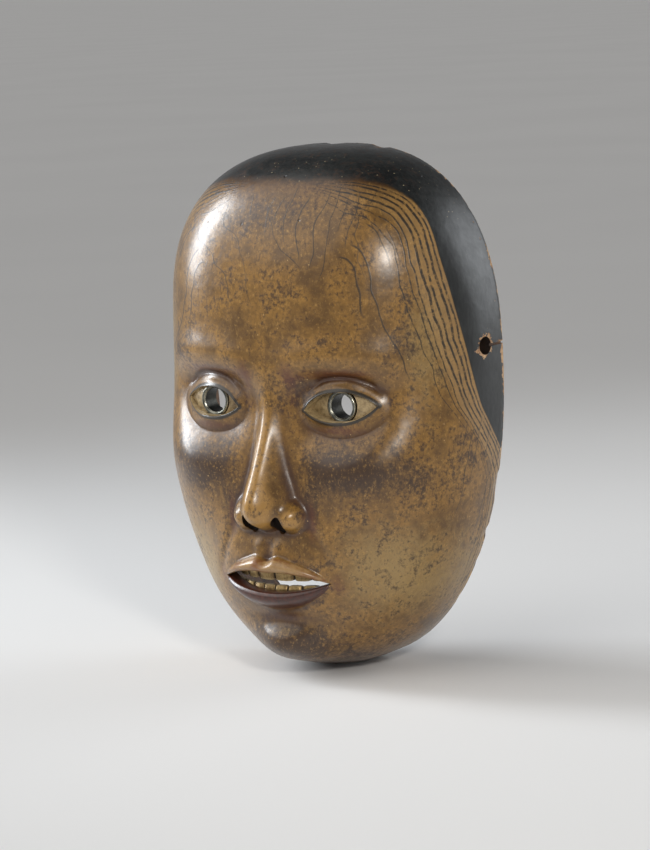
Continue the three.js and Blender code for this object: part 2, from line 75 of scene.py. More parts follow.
BODY_LOW, BODY_HIGH = box_mm("mask_body")
WIDTH, _, HEIGHT = BODY_HIGH - BODY_LOW
DOME_DEPTH = 62
WALL = 7
WIDEST_Z = 18
CLEARANCE = 0.3

CHIN_Z = -HEIGHT / 2
FACE_THIRD = 0.91 * HEIGHT / 3
BROW_Z = CHIN_Z + 2 * FACE_THIRD
NOSE_Z = CHIN_Z + FACE_THIRD
MOUTH_Z = CHIN_Z + FACE_THIRD * 2 / 3
EYE_Z = CHIN_Z + 1.75 * FACE_THIRD
EYE_X = 30
EYE_HALF = 14.6
EYEBALL_DEPTH = 54
MOUTH_HALF = 25

BUSH_LOW, BUSH_HIGH = box_mm("pupil_bush_right")
BUSH_RADIUS = (BUSH_HIGH[0] - BUSH_LOW[0]) / 2
BUSH_LENGTH = BUSH_HIGH[1] - BUSH_LOW[1]
BUSH_FRONT = -BUSH_LOW[1]
BUSH_Z = (BUSH_HIGH[2] + BUSH_LOW[2]) / 2
PUPIL_RADIUS = 4.8

TEETH_DEPTH = 62
TEETH_CURVE = 62
PLATE_THICK = 2.2
PLATES = {
    "upper_teeth": dict(low=0.2, high=9, bites=-1, gaps=(0, 8.5, 15, 22, 27), nail=(21, 6.6)),
    "lower_teeth": dict(low=-7.6, high=-1.6, bites=1, gaps=(0, 5.6, 11.4, 17.4, 24), nail=(10, -5.4)),
}
TOOTH_GAP_CUT, TOOTH_CORNER_WORN, TOOTH_EDGE_THINNED = 0.9, 0.6, 0.5
NAIL_SHANK, NAIL_HOLE, NAIL_HEAD, NAIL_HEAD_HEIGHT, NAIL_IN_WOOD, NAIL_POINT = 0.6, 0.9, 1.5, 0.7, 2.0, 1.2
NOSTRIL_PLACE, NOSTRIL_RADII, NOSTRIL_TILT = (6.6, -66.5, NOSE_Z + 3.4), (3, 4.3, 5.8), 0.35
CUTTER_BACK = 34

CORD_HOLE_RADIUS, CORD_HOLE_DEPTH, CORD_HOLE_Z = 3.6, 13, 27
CORD_GROOVE_WIDTH, CORD_GROOVE_CUT = 1.0, 1.3
RIM_ROUND = 0.8

# ---- small maths ----


def smooth(start, end, value):
    t = np.clip((value - start) / (end - start), 0, 1)
    return t * t * (3 - 2 * t)


def soft_max(a, b, blend):
    share = np.clip(0.5 + 0.5 * (a - b) / blend, 0, 1)
    return b + (a - b) * share + blend * share * (1 - share)


def mound(dx, dz, half_x, half_z, power=2):
    return np.exp(-np.abs(dx / half_x) ** power - np.abs(dz / half_z) ** power)


def bell(distance, width):
    return np.exp(-((distance / width) ** 2))


def profile(points):
    """A smooth curve through (place, value) points."""
    places, values = np.array(points, float).T
    before = np.maximum(np.arange(len(places)) - 1, 0)
    after = np.minimum(np.arange(len(places)) + 1, len(places) - 1)
    slopes = (values[after] - values[before]) / (places[after] - places[before])

    def curve(place):
        at = np.clip(place, places[0], places[-1])
        k = np.clip(np.searchsorted(places, at, side="right") - 1, 0, len(places) - 2)
        span = places[k + 1] - places[k]
        t = (at - places[k]) / span
        rise = t * t * (3 - 2 * t)
        bend = slopes[k] * t * (1 - t) ** 2 + slopes[k + 1] * t * t * (t - 1)
        return values[k] * (1 - rise) + values[k + 1] * rise + span * bend

    return curve


def stations(*spans):
    """Values from (start, cells) spans, each running to the start of the next."""
    values = [spans[0][0]]
    for (start, cells), following in zip(spans, spans[1:]):
        values += list(start + (following[0] - start) * np.arange(1, cells + 1) / cells)
    return np.array(values, float)


# ---- outline and plain dome ----


def half_height(up):
    return np.where(up >= 0, HEIGHT / 2 - WIDEST_Z, HEIGHT / 2 + WIDEST_Z)


def outline_radius(across, up, inset):
    """From the middle of the widest section to the outline, towards (across, up)."""
    power = np.where(up >= 0, 2.6, 2.15)
    a = np.abs(across / (WIDTH / 2 - inset))
    b = np.abs(up / (half_height(up) - inset))
    return (a**power + b**power) ** (-1 / power)


def reach(x, z, inset=0):
    """0 in the middle of the mask and 1 on its outline."""
    distance = np.hypot(x, z - WIDEST_Z) + 1e-9
    outline = outline_radius(x / distance, (z - WIDEST_Z) / distance, inset)
    return np.minimum(distance / outline, 1)


def dome_power(x, z):
    rise = z - WIDEST_Z
    steepness = rise * rise / (x * x + rise * rise + 1e-9)
    return 2.3 + (np.where(rise >= 0, 3.0, 3.6) - 2.3) * steepness


def dome(x, z, inset, depth):
    power = dome_power(x, z)
    return depth * (1 - reach(x, z, inset) ** power) ** (1 / power)


# ---- features of the face, each a depth added to the dome ----


def broad_forms(side, z):
    cheekbone = 4.0 * mound(side - 43, z - (EYE_Z - 21), 20, 17)
    muzzle = 8.0 * mound(side, z - (MOUTH_Z + 2), 27, 20)
    chin = 12.0 * mound(side, z - (CHIN_Z + 14), 18, 11)
    chin_fold = 3.0 * mound(side, z - (MOUTH_Z - 17), 18, 5)
    temple = 2.0 * mound(side - 62, z - 38, 14, 26)
    hollow_cheek = 2.2 * mound(side - 42, z - (MOUTH_Z + 11), 13, 19)
    return cheekbone + muzzle + chin - chin_fold - temple - hollow_cheek


def lid_edges(place):
    """Height of the upper and lower lid edges over the eye's centre, and their common tilt."""
    s = np.clip(place, -1, 1)
    tilt = 0.9 * s
    upper = 6.7 * (1 - np.abs(s + 0.10 * (1 - s * s)) ** 2.3) ** 0.9
    lower = -5.6 * (1 - np.abs(s - 0.08 * (1 - s * s)) ** 2.3) ** 0.9
    return upper + tilt, lower + tilt, tilt


def eye_forms(side, z):
    rise = z - (EYE_Z + 2.6)
    socket = 8.5 * mound(side - EYE_X, rise, 20, np.where(rise > 0, 10.5, 20), 2.6)
    nose_root = 3.0 * mound(side, z - (EYE_Z + 1.5), 9, 8)
    brow_z = BROW_Z + 1.8 + 2.5 * (1 - ((side - 32) / 26) ** 2)
    brow = 1.8 * smooth(0, 16, side) * (1 - smooth(46, 64, side)) * bell(z - brow_z, 7)

    dx, dz = side - EYE_X, z - EYE_Z
    lids = 7.2 * np.clip(1 - (dx / 18.5) ** 2 - ((dz - 0.5) / 12.5) ** 2, 0, 1) ** 1.25
    place = dx / EYE_HALF
    upper, lower, _ = lid_edges(place)
    crease = 1.3 * smooth(-1, -0.5, place) * (1 - smooth(0.75, 1.2, place)) * bell(dz - upper - 5, 1.3)
    from_edge = np.maximum(np.maximum(dz - upper, lower - dz), 0)
    lid_roll = 0.7 * (1 - smooth(0.93, 1.12, np.abs(place))) * bell(from_edge, 1.3)
    return brow + lids + lid_roll - socket - nose_root - crease


def eyeball_depth(x, z):
    dx, dz = np.abs(x) - EYE_X, z - EYE_Z
    return EYEBALL_DEPTH - 0.1 * dx * np.abs(dx) / EYE_HALF - dx * dx / 60 - dz * dz / 36


# the bridge seen from the side, as height over the base of the nose against depth
BRIDGE_DEPTH = profile([
    (-18, 40), (-6.5, 51), (-3, 58), (0.5, 68), (4.5, 75.5), (9, 78.5), (14.5, 77.6),
    (23.5, 72.5), (35.5, 66.5), (45.5, 62.5), (54.5, 61.5), (65.5, 62), (81, 60),
])
BRIDGE_ROUND = profile([
    (-6, 10), (2, 11), (9, 11.5), (16, 9.5), (30, 7.5), (46, 7), (58, 9), (68, 14), (81, 20),
])
BRIDGE_SLOPE = profile([(-6, 1.9), (12, 2), (27, 1.9), (42, 1.6), (56, 1.2), (68, 0.8), (81, 0.5)])


def with_nose(depth, side, z):
    above = z - NOSE_Z
    rounding = BRIDGE_ROUND(above)
    bridge = BRIDGE_DEPTH(above) - np.hypot(BRIDGE_SLOPE(above) * side, rounding) + rounding
    wing_x = (side - 10.4) / 7.6
    wing_z = (above - 5.2) / 8.2
    from_wing = wing_x**2 + wing_z**2
    wing = 58 + 11.5 * np.clip(1 - from_wing, 0, 1) ** 0.8 - 6 * np.maximum(np.sqrt(from_wing) - 0.97, 0)
    nose = soft_max(bridge, wing, 5.5)
    blend = 3 - 1.2 * mound(side - 17, above - 4, 6, 8)
    span = (1 - smooth(EYE_Z + 13, EYE_Z + 28, z)) * (1 - smooth(24, 32, side))
    return depth + span * (soft_max(depth, nose, blend) - depth)


def lip_edges(x):
    """Height of the lip edges over the mouth's line, and the share of the way to its corner."""
    t = np.clip(np.abs(x) / MOUTH_HALF, 0, 1)
    upper = 5.6 * (1 - t**2.2) ** 0.9 - 0.5 * bell(x, 4)
    lower = -4.3 * (1 - t * t) ** 0.9
    return upper, lower, t


def lip_heights(x, side, t):
    upper = (5 + bell(side - 5, 4) - 0.9 * bell(x, 3)) * (1 - t**2.5) ** 0.8
    lower = 7.6 * (1 - t**2.3) ** 0.8
    return np.maximum(upper, 0.3), np.maximum(lower, 0.3)


def mouth_forms(x, side, z):
    below = NOSE_Z + 6 - z
    fold_span = smooth(0, 8, below) * (1 - smooth(18, 32, below))
    cheek_fold = 0.8 * bell(side - 15.5 - 0.5 * below, 2.6) * fold_span
    groove_span = smooth(NOSE_Z - 3, NOSE_Z - 6.5, z) * smooth(MOUTH_Z + 6, MOUTH_Z + 8.5, z)
    groove = (0.9 * bell(x, 2.3) - 0.5 * bell(side - 4.4, 1.8)) * groove_span

    dz = z - MOUTH_Z
    upper, lower, t = lip_edges(x)
    upper_height, lower_height = lip_heights(x, side, t)
    fullness = (1 - t**3) ** 0.7
    upper_lip = 3.4 * np.sin(np.pi * np.clip(0.24 + 0.76 * (dz - upper) / upper_height, 0, 1))
    lower_lip = 4.2 * np.sin(np.pi * np.clip(0.22 + 0.78 * (lower - dz) / lower_height, 0, 1))
    lip = fullness * np.where(dz > (upper + lower) / 2, upper_lip, lower_lip)
    return lip - groove - cheek_fold


def relief(x, z):
    """How far the carved features stand over the plain dome."""
    side = np.hypot(x, 0.5)
    plain = dome(x, z, 0, DOME_DEPTH)
    carved = with_nose(plain + broad_forms(side, z) + eye_forms(side, z), side, z)
    return (carved + mouth_forms(x, side, z) - plain) * (1 - smooth(0.93, 0.995, reach(x, z)))


def front_depth(x, z):
    return dome(x, z, 0, DOME_DEPTH) + relief(x, z)


def gouge_marks(x, z):
    """Shallow scoops that the gouge leaves, in staggered rows, each fading at its ends."""
    column = np.floor(x / 8.5)
    across = x / 8.5 - column - 0.5
    along = z / 21 + 0.37 * column + 0.21 * np.sin(column * 2.4)
    within = along - np.floor(along) - 0.5
    return 0.55 * (1 - 4 * across**2) * (1 - (2 * within) ** 4)


def back_depth(x, z):
    side = np.abs(x)
    hollow = dome(x, z, WALL, DOME_DEPTH - WALL - 2)
    nose = 7 * mound(side, z - (NOSE_Z + 14), 11, 24)
    muzzle = 5 * mound(side, z - (MOUTH_Z + 2), 24, 18)
    chin = 4 * mound(side, z - (CHIN_Z + 18), 15, 10)
    socket = 4 * mound(side - EYE_X, z - EYE_Z, 19, 16)
    shaped = nose + muzzle + chin - socket + gouge_marks(x, z) - 0.25
    return hollow + shaped * (1 - smooth(0.8, 0.99, reach(x, z, WALL)))


def arch_depth(x):
    return TEETH_DEPTH - x * x / TEETH_CURVE


# ---- mesh handling ----


def leave_edit():
    bpy.ops.object.mode_set(mode="OBJECT")


def clear_selection():
    if bpy.context.object and bpy.context.object.mode != "OBJECT":
        leave_edit()
    bpy.ops.object.select_all(action="DESELECT")


def choose(obj):
    clear_selection()
    obj.select_set(True)
    bpy.context.view_layer.objects.active = obj


def points_of(mesh):
    co = np.empty(len(mesh.vertices) * 3)
    mesh.vertices.foreach_get("co", co)
    return co.reshape(-1, 3) / MM


def move_points(mesh, points):
    mesh.vertices.foreach_set("co", (points * MM).ravel())
    mesh.update()


def place_points(obj, x, depth, z):
    move_points(obj.data, np.stack([x, -depth, z], -1))


def edit_all(obj):
    """Edit mode with everything chosen."""
    choose(obj)
    bpy.ops.object.mode_set(mode="EDIT")
    bpy.ops.mesh.select_all(action="SELECT")


def edit_select(obj, kind, test):
    """Edit mode with only the elements chosen whose centre, in millimetres, passes the test."""
    choose(obj)
    bpy.ops.object.mode_set(mode="EDIT")
    bpy.ops.mesh.select_mode(type=kind)
    bpy.ops.mesh.select_all(action="DESELECT")
    shape = bmesh.from_edit_mesh(obj.data)
    elements = shape.faces if kind == "FACE" else [edge for edge in shape.edges if edge.is_boundary]
    for element in elements:
        centre = sum((v.co for v in element.verts), Vector()) / len(element.verts) / MM
        if test(*centre):
            element.select_set(True)
    bmesh.update_edit_mesh(obj.data)


def extrude_and_move(obj, mover):
    """Extrudes what is chosen, then lets mover(points) change the places of the new points."""
    bpy.ops.mesh.extrude_region_move()
    leave_edit()
    chosen = np.empty(len(obj.data.vertices), bool)
    obj.data.vertices.foreach_get("select", chosen)
    points = points_of(obj.data)
    fresh = points[chosen]
    mover(fresh)
    points[chosen] = fresh
    move_points(obj.data, points)
    bpy.ops.object.mode_set(mode="EDIT")


def draw_in(points, centre, distance):
    """Moves points in x and z towards a centre, by at most part of the way."""
    away = np.array(centre) - points[:, [0, 2]]
    length = np.linalg.norm(away, axis=1, keepdims=True) + 1e-9
    points[:, [0, 2]] += away / length * np.minimum(distance, length * 0.6)


def thicken(obj, back):
    """Makes a sheet a block whose back is at y = back(x)."""
    def to_back(points):
        points[:, 1] = back(points[:, 0])

    edit_all(obj)
    extrude_and_move(obj, to_back)
    bpy.ops.mesh.select_all(action="SELECT")
    bpy.ops.mesh.normals_make_consistent(inside=False)
    leave_edit()


def grid_object(name, columns, rows):
    """A flat grid whose vertices are then ruled by their own column and row."""
    clear_selection()
    bpy.ops.mesh.primitive_grid_add(x_subdivisions=columns - 1, y_subdivisions=rows - 1, size=2)
    obj = bpy.context.object
    obj.name = name
    flat = points_of(obj.data) * MM
    column = np.rint((flat[:, 0] + 1) / 2 * (columns - 1)).astype(int)
    row = np.rint((flat[:, 1] + 1) / 2 * (rows - 1)).astype(int)
    return obj, column, row


def cut(obj, cutter):
    choose(obj)
    boolean = obj.modifiers.new("cut", "BOOLEAN")
    boolean.operation = "DIFFERENCE"
    boolean.solver = "MANIFOLD"
    boolean.object = cutter
    bpy.ops.object.modifier_apply(modifier="cut")
    bpy.data.objects.remove(cutter)


def apply_place(obj):
    choose(obj)
    bpy.ops.object.transform_apply(location=True, rotation=True, scale=True)
    return obj


def rod(start, end, radius, sides=48):
    """A closed cylinder between two points."""
    start, end = Vector(start) * MM, Vector(end) * MM
    clear_selection()
    bpy.ops.mesh.primitive_cylinder_add(
        vertices=sides, radius=radius * MM, depth=(end - start).length, location=(start + end) / 2,
        rotation=(end - start).to_track_quat("Z", "Y").to_euler(),
    )
    return apply_place(bpy.context.object)


def shade(obj, degrees):
    choose(obj)
    bpy.ops.object.shade_smooth_by_angle(angle=math.radians(degrees))


def spun(name, outline, steps, place):
    """A turned piece: (radius, along) points spun about Y, then placed by a matrix."""
    clear_selection()
    bpy.ops.mesh.primitive_plane_add(size=MM)
    obj = bpy.context.object
    obj.name = name
    bpy.ops.object.mode_set(mode="EDIT")
    bpy.ops.mesh.delete(type="ONLY_FACE")
    shape = bmesh.from_edit_mesh(obj.data)
    bmesh.ops.delete(shape, geom=list(shape.verts), context="VERTS")
    rim = [shape.verts.new((radius * MM, along * MM, 0)) for radius, along in outline]
    for first, second in zip(rim, rim[1:]):
        shape.edges.new((first, second))
    bmesh.update_edit_mesh(obj.data)
    bpy.ops.mesh.select_all(action="SELECT")
    bpy.ops.mesh.spin(steps=steps, angle=2 * math.pi, center=(0, 0, 0), axis=(0, 1, 0))
    bpy.ops.mesh.select_all(action="SELECT")
    bpy.ops.mesh.remove_doubles(threshold=1e-7)
    bpy.ops.mesh.normals_make_consistent(inside=False)
    leave_edit()
    obj.data.transform(place)
    return obj


# ---- the shell's front ----


def to_parameter(distance, half):
    return 2 / np.pi * np.arcsin(distance / half)


def from_parameter(parameter, half):
    return half * np.sin(np.pi / 2 * parameter)


def round_place(u, v, inset):
    """The point over the outline that u across and v up, both -1 to 1, stand for."""
    a, b = u * np.sqrt(1 - v * v / 2), v * np.sqrt(1 - u * u / 2)
    dx, dz = a * (WIDTH / 2 - inset), b * (half_height(v) - inset)
    length = np.hypot(dx, dz) + 1e-12
    across, up = dx / length, dz / length
    rho = from_parameter(np.minimum(np.hypot(a, b), 1), 1)
    radius = rho * outline_radius(across, up + 1e-15, inset)
    return radius * across, WIDEST_Z + radius * up, rho


def face_place(u, v):
    """Upright columns and level rows in the middle of the face, turning into the outline."""
    round_x, round_z, rho = round_place(u, v, 0)
    straight = 1 - smooth(0.74, 0.97, rho)
    x = from_parameter(u, WIDTH / 2)
    z = WIDEST_Z + from_parameter(v, half_height(v))
    return round_x + (x - round_x) * straight, round_z + (z - round_z) * straight


def draw_apart(x, z, copy):
    """Opens the doubled rows to the edges of the lids and lips, and draws the rows near them along."""
    def near(level, extent):
        return np.clip(1 - np.abs(z - level) / extent, 0, 1) ** 2

    def above(level):
        return np.where(np.abs(z - level) > 1e-6, z > level, copy > 0)

    eye = (np.abs(x) - EYE_X) / EYE_HALF
    upper, lower, tilt = lid_edges(eye)
    closed = tilt * (1 - smooth(1, 1.6, np.abs(eye)))
    open_lids = np.where(above(EYE_Z), upper, lower)
    upper_lip, lower_lip, t = lip_edges(x)
    open_lips = np.where(above(MOUTH_Z), upper_lip, lower_lip)
    eye_shift = np.where(np.abs(eye) < 1 - 1e-9, open_lids, closed) * near(EYE_Z, 17)
    return z + eye_shift + np.where(t < 1 - 1e-9, open_lips, 0) * near(MOUTH_Z, 15)


SIDE_WALL = 0.9 * WIDTH / 2
LOWEST_ROW, HIGHEST_ROW = CHIN_Z + 8, HEIGHT / 2 - 13

half_columns = to_parameter(stations(
    (0, 26), (EYE_X - EYE_HALF, 16), (MOUTH_HALF, 32), (EYE_X + EYE_HALF, 26), (SIDE_WALL,),
), WIDTH / 2)
half_columns = np.append(half_columns, stations((half_columns[-1], 16), (1,))[1:])
COLUMNS = np.concatenate([-half_columns[:0:-1], half_columns])

levels = stations(
    (LOWEST_ROW, 22), (MOUTH_Z - 16, 26), (MOUTH_Z, 27), (NOSE_Z - 5, 38), (NOSE_Z + 16, 24),
    (EYE_Z - 13, 24), (EYE_Z, 27), (EYE_Z + 15, 17), (EYE_Z + 30, 42), (HIGHEST_ROW,),
)
level_rows = to_parameter(levels - WIDEST_Z, half_height(levels - WIDEST_Z))
slit = np.isin(levels, [EYE_Z, MOUTH_Z])
ROWS = np.concatenate([
    stations((-1, 14), (level_rows[0],))[:-1],
    np.repeat(level_rows, 1 + slit),
    stations((level_rows[-1], 14), (1,))[1:],
])
COPIES = np.zeros(len(ROWS))
doubled = np.flatnonzero(np.diff(ROWS) == 0)
COPIES[doubled], COPIES[doubled + 1] = -1, 1


def carved_front():
    obj, column, row = grid_object("mask_shell", len(COLUMNS), len(ROWS))
    last_row = len(ROWS) - 1
    slits = (2 * doubled + 1) / last_row - 1
    edit_select(obj, "FACE", lambda x, y, z: min(abs(y * MM - slits)) < 0.5 / last_row)
    bpy.ops.mesh.delete(type="ONLY_FACE")
    leave_edit()
    x, z = face_place(COLUMNS[column], ROWS[row])
    z = draw_apart(x, z, COPIES[row])
    on_outline = (np.abs(COLUMNS[column]) == 1) | (np.abs(ROWS[row]) == 1)
    depth = np.where(on_outline, RIM_ROUND, front_depth(x, z))
    place_points(obj, x, depth, z)
    edit_all(obj)
    bpy.ops.mesh.remove_doubles(threshold=1e-8)
    leave_edit()
    return obj


def eye_well(obj, side):
    """The wall inside one pair of lids and the eyeball behind it, as far as the bush's seat."""
    centre = (side * EYE_X, BUSH_Z)
    edit_select(obj, "EDGE", lambda x, y, z: abs(x * side - EYE_X) < EYE_HALF and abs(z - EYE_Z) < 9)

    def lid_wall(distance, back):
        def move(points):
            draw_in(points, centre, distance)
            points[:, 1] += back
        return move

    def ball(distance):
        def move(points):
            draw_in(points, centre, distance)
            points[:, 1] = -eyeball_depth(points[:, 0], points[:, 2])
        return move

    for mover in (lid_wall(0.25, 0.12), lid_wall(0.2, 0.5), ball(0.05), *[ball(0.9)] * 12):
        extrude_and_move(obj, mover)
    bpy.ops.mesh.edge_face_add()
    leave_edit()


def mouth_well(obj):
    """The rolled inner edge of the lips and the wall behind it, into the tooth recess."""
    edit_select(obj, "EDGE", lambda x, y, z: abs(x) < MOUTH_HALF and abs(z - MOUTH_Z) < 7)

    def towards_line(distance, back):
        def move(points):
            gap = MOUTH_Z - points[:, 2]
            points[:, 2] += np.sign(gap) * np.minimum(distance, np.abs(gap) * 0.4)
            points[:, 1] += back
        return move

    def recess(points):
        points[:, 1] = 3 - arch_depth(points[:, 0])

    for mover in (towards_line(0.35, 0.3), towards_line(0.2, 0.8), towards_line(0.05, 1.5), recess):
        extrude_and_move(obj, mover)
    bpy.ops.mesh.edge_face_add()
    leave_edit()


# ---- the shell's back and rim ----

BACK_COLUMNS, BACK_ROWS = stations((-1, 110), (1,)), stations((-1, 146), (1,))


def hollow_back():
    obj, column, row = grid_object("mask_hollow", len(BACK_COLUMNS), len(BACK_ROWS))
    u, v = BACK_COLUMNS[column], BACK_ROWS[row]
    x, z, _ = round_place(u, v, WALL)
    on_outline = (np.abs(u) == 1) | (np.abs(v) == 1)
    depth = np.where(on_outline, RIM_ROUND, back_depth(x, z))
    place_points(obj, x, depth, z)
    edit_all(obj)
    bpy.ops.mesh.flip_normals()
    leave_edit()
    return obj


def on_rim(x, y, z):
    return -y < RIM_ROUND + 0.01 and reach(x, z) > 0.8


def round_rim(obj, inwards):
    """Rounds the open edge at the rim over, inwards by 1 or outwards by -1."""
    edit_select(obj, "EDGE", on_rim)
    for distance, depth in ((0.25, 0.25), (0.65, 0)):
        def move(points, distance=distance, depth=depth):
            draw_in(points, (0, WIDEST_Z), inwards * distance)
            points[:, 1] = -depth
        extrude_and_move(obj, move)
    leave_edit()


def worn_rim(obj):
    """Small knocks along the two edges of the rim."""
    points = points_of(obj.data)
    near = np.flatnonzero((-points[:, 1] < 2.5) & (reach(points[:, 0], points[:, 2]) > 0.985))
    for k in near:
        knock = max(0.0, noise.noise(Vector(points[k]) * 0.11 + Vector((7, 0, 0))) - 0.28)
        fine = max(0.0, noise.noise(Vector(points[k]) * 0.6))
        fade = 1 - smooth(0.8, 2.5, -points[k, 1])
        inwards = Vector((points[k, 0], 0, points[k, 2] - WIDEST_Z)).normalized()
        points[k] -= np.array(inwards) * (2.2 * knock + 0.12 * fine) * fade
    move_points(obj.data, points)


# ---- cutters ----


def bush_seat(side):
    x = side * EYE_X
    ends = (x, -CUTTER_BACK - 2, BUSH_Z), (x, -BUSH_FRONT - CLEARANCE, BUSH_Z)
    return rod(*ends, BUSH_RADIUS + CLEARANCE, 96)


def nostril(side):
    clear_selection()
    bpy.ops.mesh.primitive_uv_sphere_add(segments=48, ring_count=32, radius=MM)
    obj = bpy.context.object
    x, y, z = NOSTRIL_PLACE
    obj.data.transform(
        Matrix.Translation(Vector((side * x, y, z)) * MM)
        @ Matrix.Rotation(NOSTRIL_TILT, 4, "X") @ Matrix.Diagonal((*NOSTRIL_RADII, 1))
    )
    return obj


def tooth_recess():
    """The room behind the lips for both plates, flat above and below and curved in front."""
    half = PLATES["upper_teeth"]["gaps"][-1] + CLEARANCE
    low = PLATES["lower_teeth"]["low"] - CLEARANCE
    high = PLATES["upper_teeth"]["high"] + CLEARANCE
    steps = 88
    obj, column, row = grid_object("recess_cutter", steps + 1, 2)
    x = -half + 2 * half * column / steps
    depth = arch_depth(x) + CLEARANCE
    place_points(obj, x, depth, MOUTH_Z + np.where(row == 1, high, low))
    thicken(obj, lambda x: -CUTTER_BACK)
    return obj


def cord_hole(side):
    ends = [(side * x, -CORD_HOLE_DEPTH, CORD_HOLE_Z) for x in (WIDTH / 2 - 3 * WALL, WIDTH / 2 + WALL)]
    return rod(*ends, CORD_HOLE_RADIUS, 64)


def cord_groove(side):
    clear_selection()
    bpy.ops.mesh.primitive_cube_add(size=1)
    obj = bpy.context.object
    obj.data.transform(
        Matrix.Translation(Vector((side * WIDTH / 2, 1 - CORD_HOLE_DEPTH / 2, CORD_HOLE_Z)) * MM)
        @ Matrix.Diagonal((2 * CORD_GROOVE_CUT * MM, (CORD_HOLE_DEPTH + 2) * MM, CORD_GROOVE_WIDTH * MM, 1))
    )
    return obj


def nail_frame(plate, side):
    """Where a nail passes the back of its plate, and the way it points, into the wood."""
    x, z = side * plate["nail"][0], plate["nail"][1]
    on_plate = Vector((x, -(arch_depth(x) - PLATE_THICK), MOUTH_Z + z))
    return on_plate, Vector((2 * x / TEETH_CURVE, -1, 0)).normalized()


def nail_bore(plate, side):
    on_plate, inwards = nail_frame(plate, side)
    length = PLATE_THICK * abs(inwards.y) + 3 * CLEARANCE + NAIL_IN_WOOD
    return rod(on_plate - inwards, on_plate + inwards * length, NAIL_HOLE, 32)


# ---- pieces ----


def make_shell():
    """The carved shell, and its bare front surface to tell lacquer from wood by."""
    front = carved_front()
    faces = [face.vertices[:] for face in front.data.polygons]
    front_surface = BVHTree.FromPolygons(points_of(front.data).tolist(), faces)
    for side in SIDES.values():
        eye_well(front, side)
    mouth_well(front)
    round_rim(front, 1)
    back = hollow_back()
    round_rim(back, -1)
    clear_selection()
    back.select_set(True)
    front.select_set(True)
    bpy.context.view_layer.objects.active = front
    bpy.ops.object.join()
    edit_select(front, "EDGE", lambda x, y, z: abs(y) < 0.01)
    bpy.ops.mesh.bridge_edge_loops()
    leave_edit()
    worn_rim(front)
    cutters = [tooth_recess()]
    for side in SIDES.values():
        cutters += [bush_seat(side), nostril(side), cord_hole(side), cord_groove(side)]
        cutters += [nail_bore(plate, side) for plate in PLATES.values()]
    for cutter in cutters:
        cut(front, cutter)
    shade(front, 42)
    return front, front_surface


def make_bush(word, side):
    """A turned metal bush, its front edge bevelled and its bore countersunk."""
    outline = [
        (PUPIL_RADIUS, 0), (BUSH_RADIUS, 0), (BUSH_RADIUS, BUSH_LENGTH - 0.6),
        (BUSH_RADIUS - 0.12, BUSH_LENGTH - 0.2), (BUSH_RADIUS - 0.4, BUSH_LENGTH),
        (PUPIL_RADIUS + 0.75, BUSH_LENGTH), (PUPIL_RADIUS + 0.5, BUSH_LENGTH - 0.12),
        (PUPIL_RADIUS + 0.08, BUSH_LENGTH - 0.65), (PUPIL_RADIUS, BUSH_LENGTH - 1), (PUPIL_RADIUS, 0),
    ]
    place = Matrix.Translation(Vector((side * EYE_X, BUSH_LENGTH - BUSH_FRONT, BUSH_Z)) * MM)
    obj = spun(f"pupil_ring_{word}", outline, 96, place @ Matrix.Rotation(math.pi, 4, "X"))
    shade(obj, 25)
    return obj


def share_of_tooth(plate, side):
    """0 at a tooth's inner side and 1 at its outer one."""
    gaps = np.array(plate["gaps"], float)
    tooth = np.clip(np.searchsorted(gaps, side, side="right") - 1, 0, len(gaps) - 2)
    return (side - gaps[tooth]) / (gaps[tooth + 1] - gaps[tooth])


def make_plate(name, plate):
    """A tooth plate: teeth raised on its front, worn biting edges, a plain back, two nail holes."""
    per_tooth, rows = 14, 15
    gaps = plate["gaps"]
    half = stations(*[(gap, per_tooth) for gap in gaps[:-1]], (gaps[-1],))
    across = np.concatenate([-half[:0:-1], half])
    obj, column, row = grid_object(f"{name}_plate", len(across), rows)
    x, h = across[column], row / (rows - 1)
    share = share_of_tooth(plate, np.abs(x))
    swell = (1 - np.abs(2 * share - 1) ** 3) ** 0.6
    from_edge = h if plate["bites"] < 0 else 1 - h
    z = plate["low"] + (plate["high"] - plate["low"]) * h
    z -= plate["bites"] * TOOTH_CORNER_WORN * (1 - swell) * (1 - from_edge)
    thinned = TOOTH_EDGE_THINNED * (1 - smooth(0, 0.3, from_edge))
    depth = arch_depth(x) - TOOTH_GAP_CUT * (1 - swell) - thinned
    place_points(obj, x, depth, MOUTH_Z + z)
    thicken(obj, lambda x: PLATE_THICK - arch_depth(x))
    for side in SIDES.values():
        cut(obj, nail_bore(plate, side))
    shade(obj, 50)
    return obj


def make_nail(name, plate, side):
    on_plate, inwards = nail_frame(plate, side)
    length = PLATE_THICK * abs(inwards.y) + CLEARANCE + NAIL_IN_WOOD
    head = [
        (NAIL_HEAD * math.sin(turn), -CLEARANCE - NAIL_HEAD_HEIGHT * (0.3 + 0.7 * math.cos(turn)))
        for turn in np.linspace(0, math.pi / 2, 7)
    ]
    outline = head + [
        (NAIL_HEAD, -CLEARANCE), (NAIL_SHANK, -CLEARANCE), (NAIL_SHANK, length - NAIL_POINT), (0, length),
    ]
    turned = Vector((0, 1, 0)).rotation_difference(inwards).to_matrix().to_4x4()
    obj = spun(name, outline, 32, Matrix.Translation(on_plate * MM) @ turned)
    shade(obj, 40)
    return obj


shell, front_surface = make_shell()
bushes = [make_bush(word, side) for word, side in SIDES.items()]
plates = [make_plate(name, plate) for name, plate in PLATES.items()]
nails = [
    make_nail(f"{name}_pin_{word}", plate, side)
    for name, plate in PLATES.items() for word, side in SIDES.items()
]


# ---- what the shell's materials know of each point ----

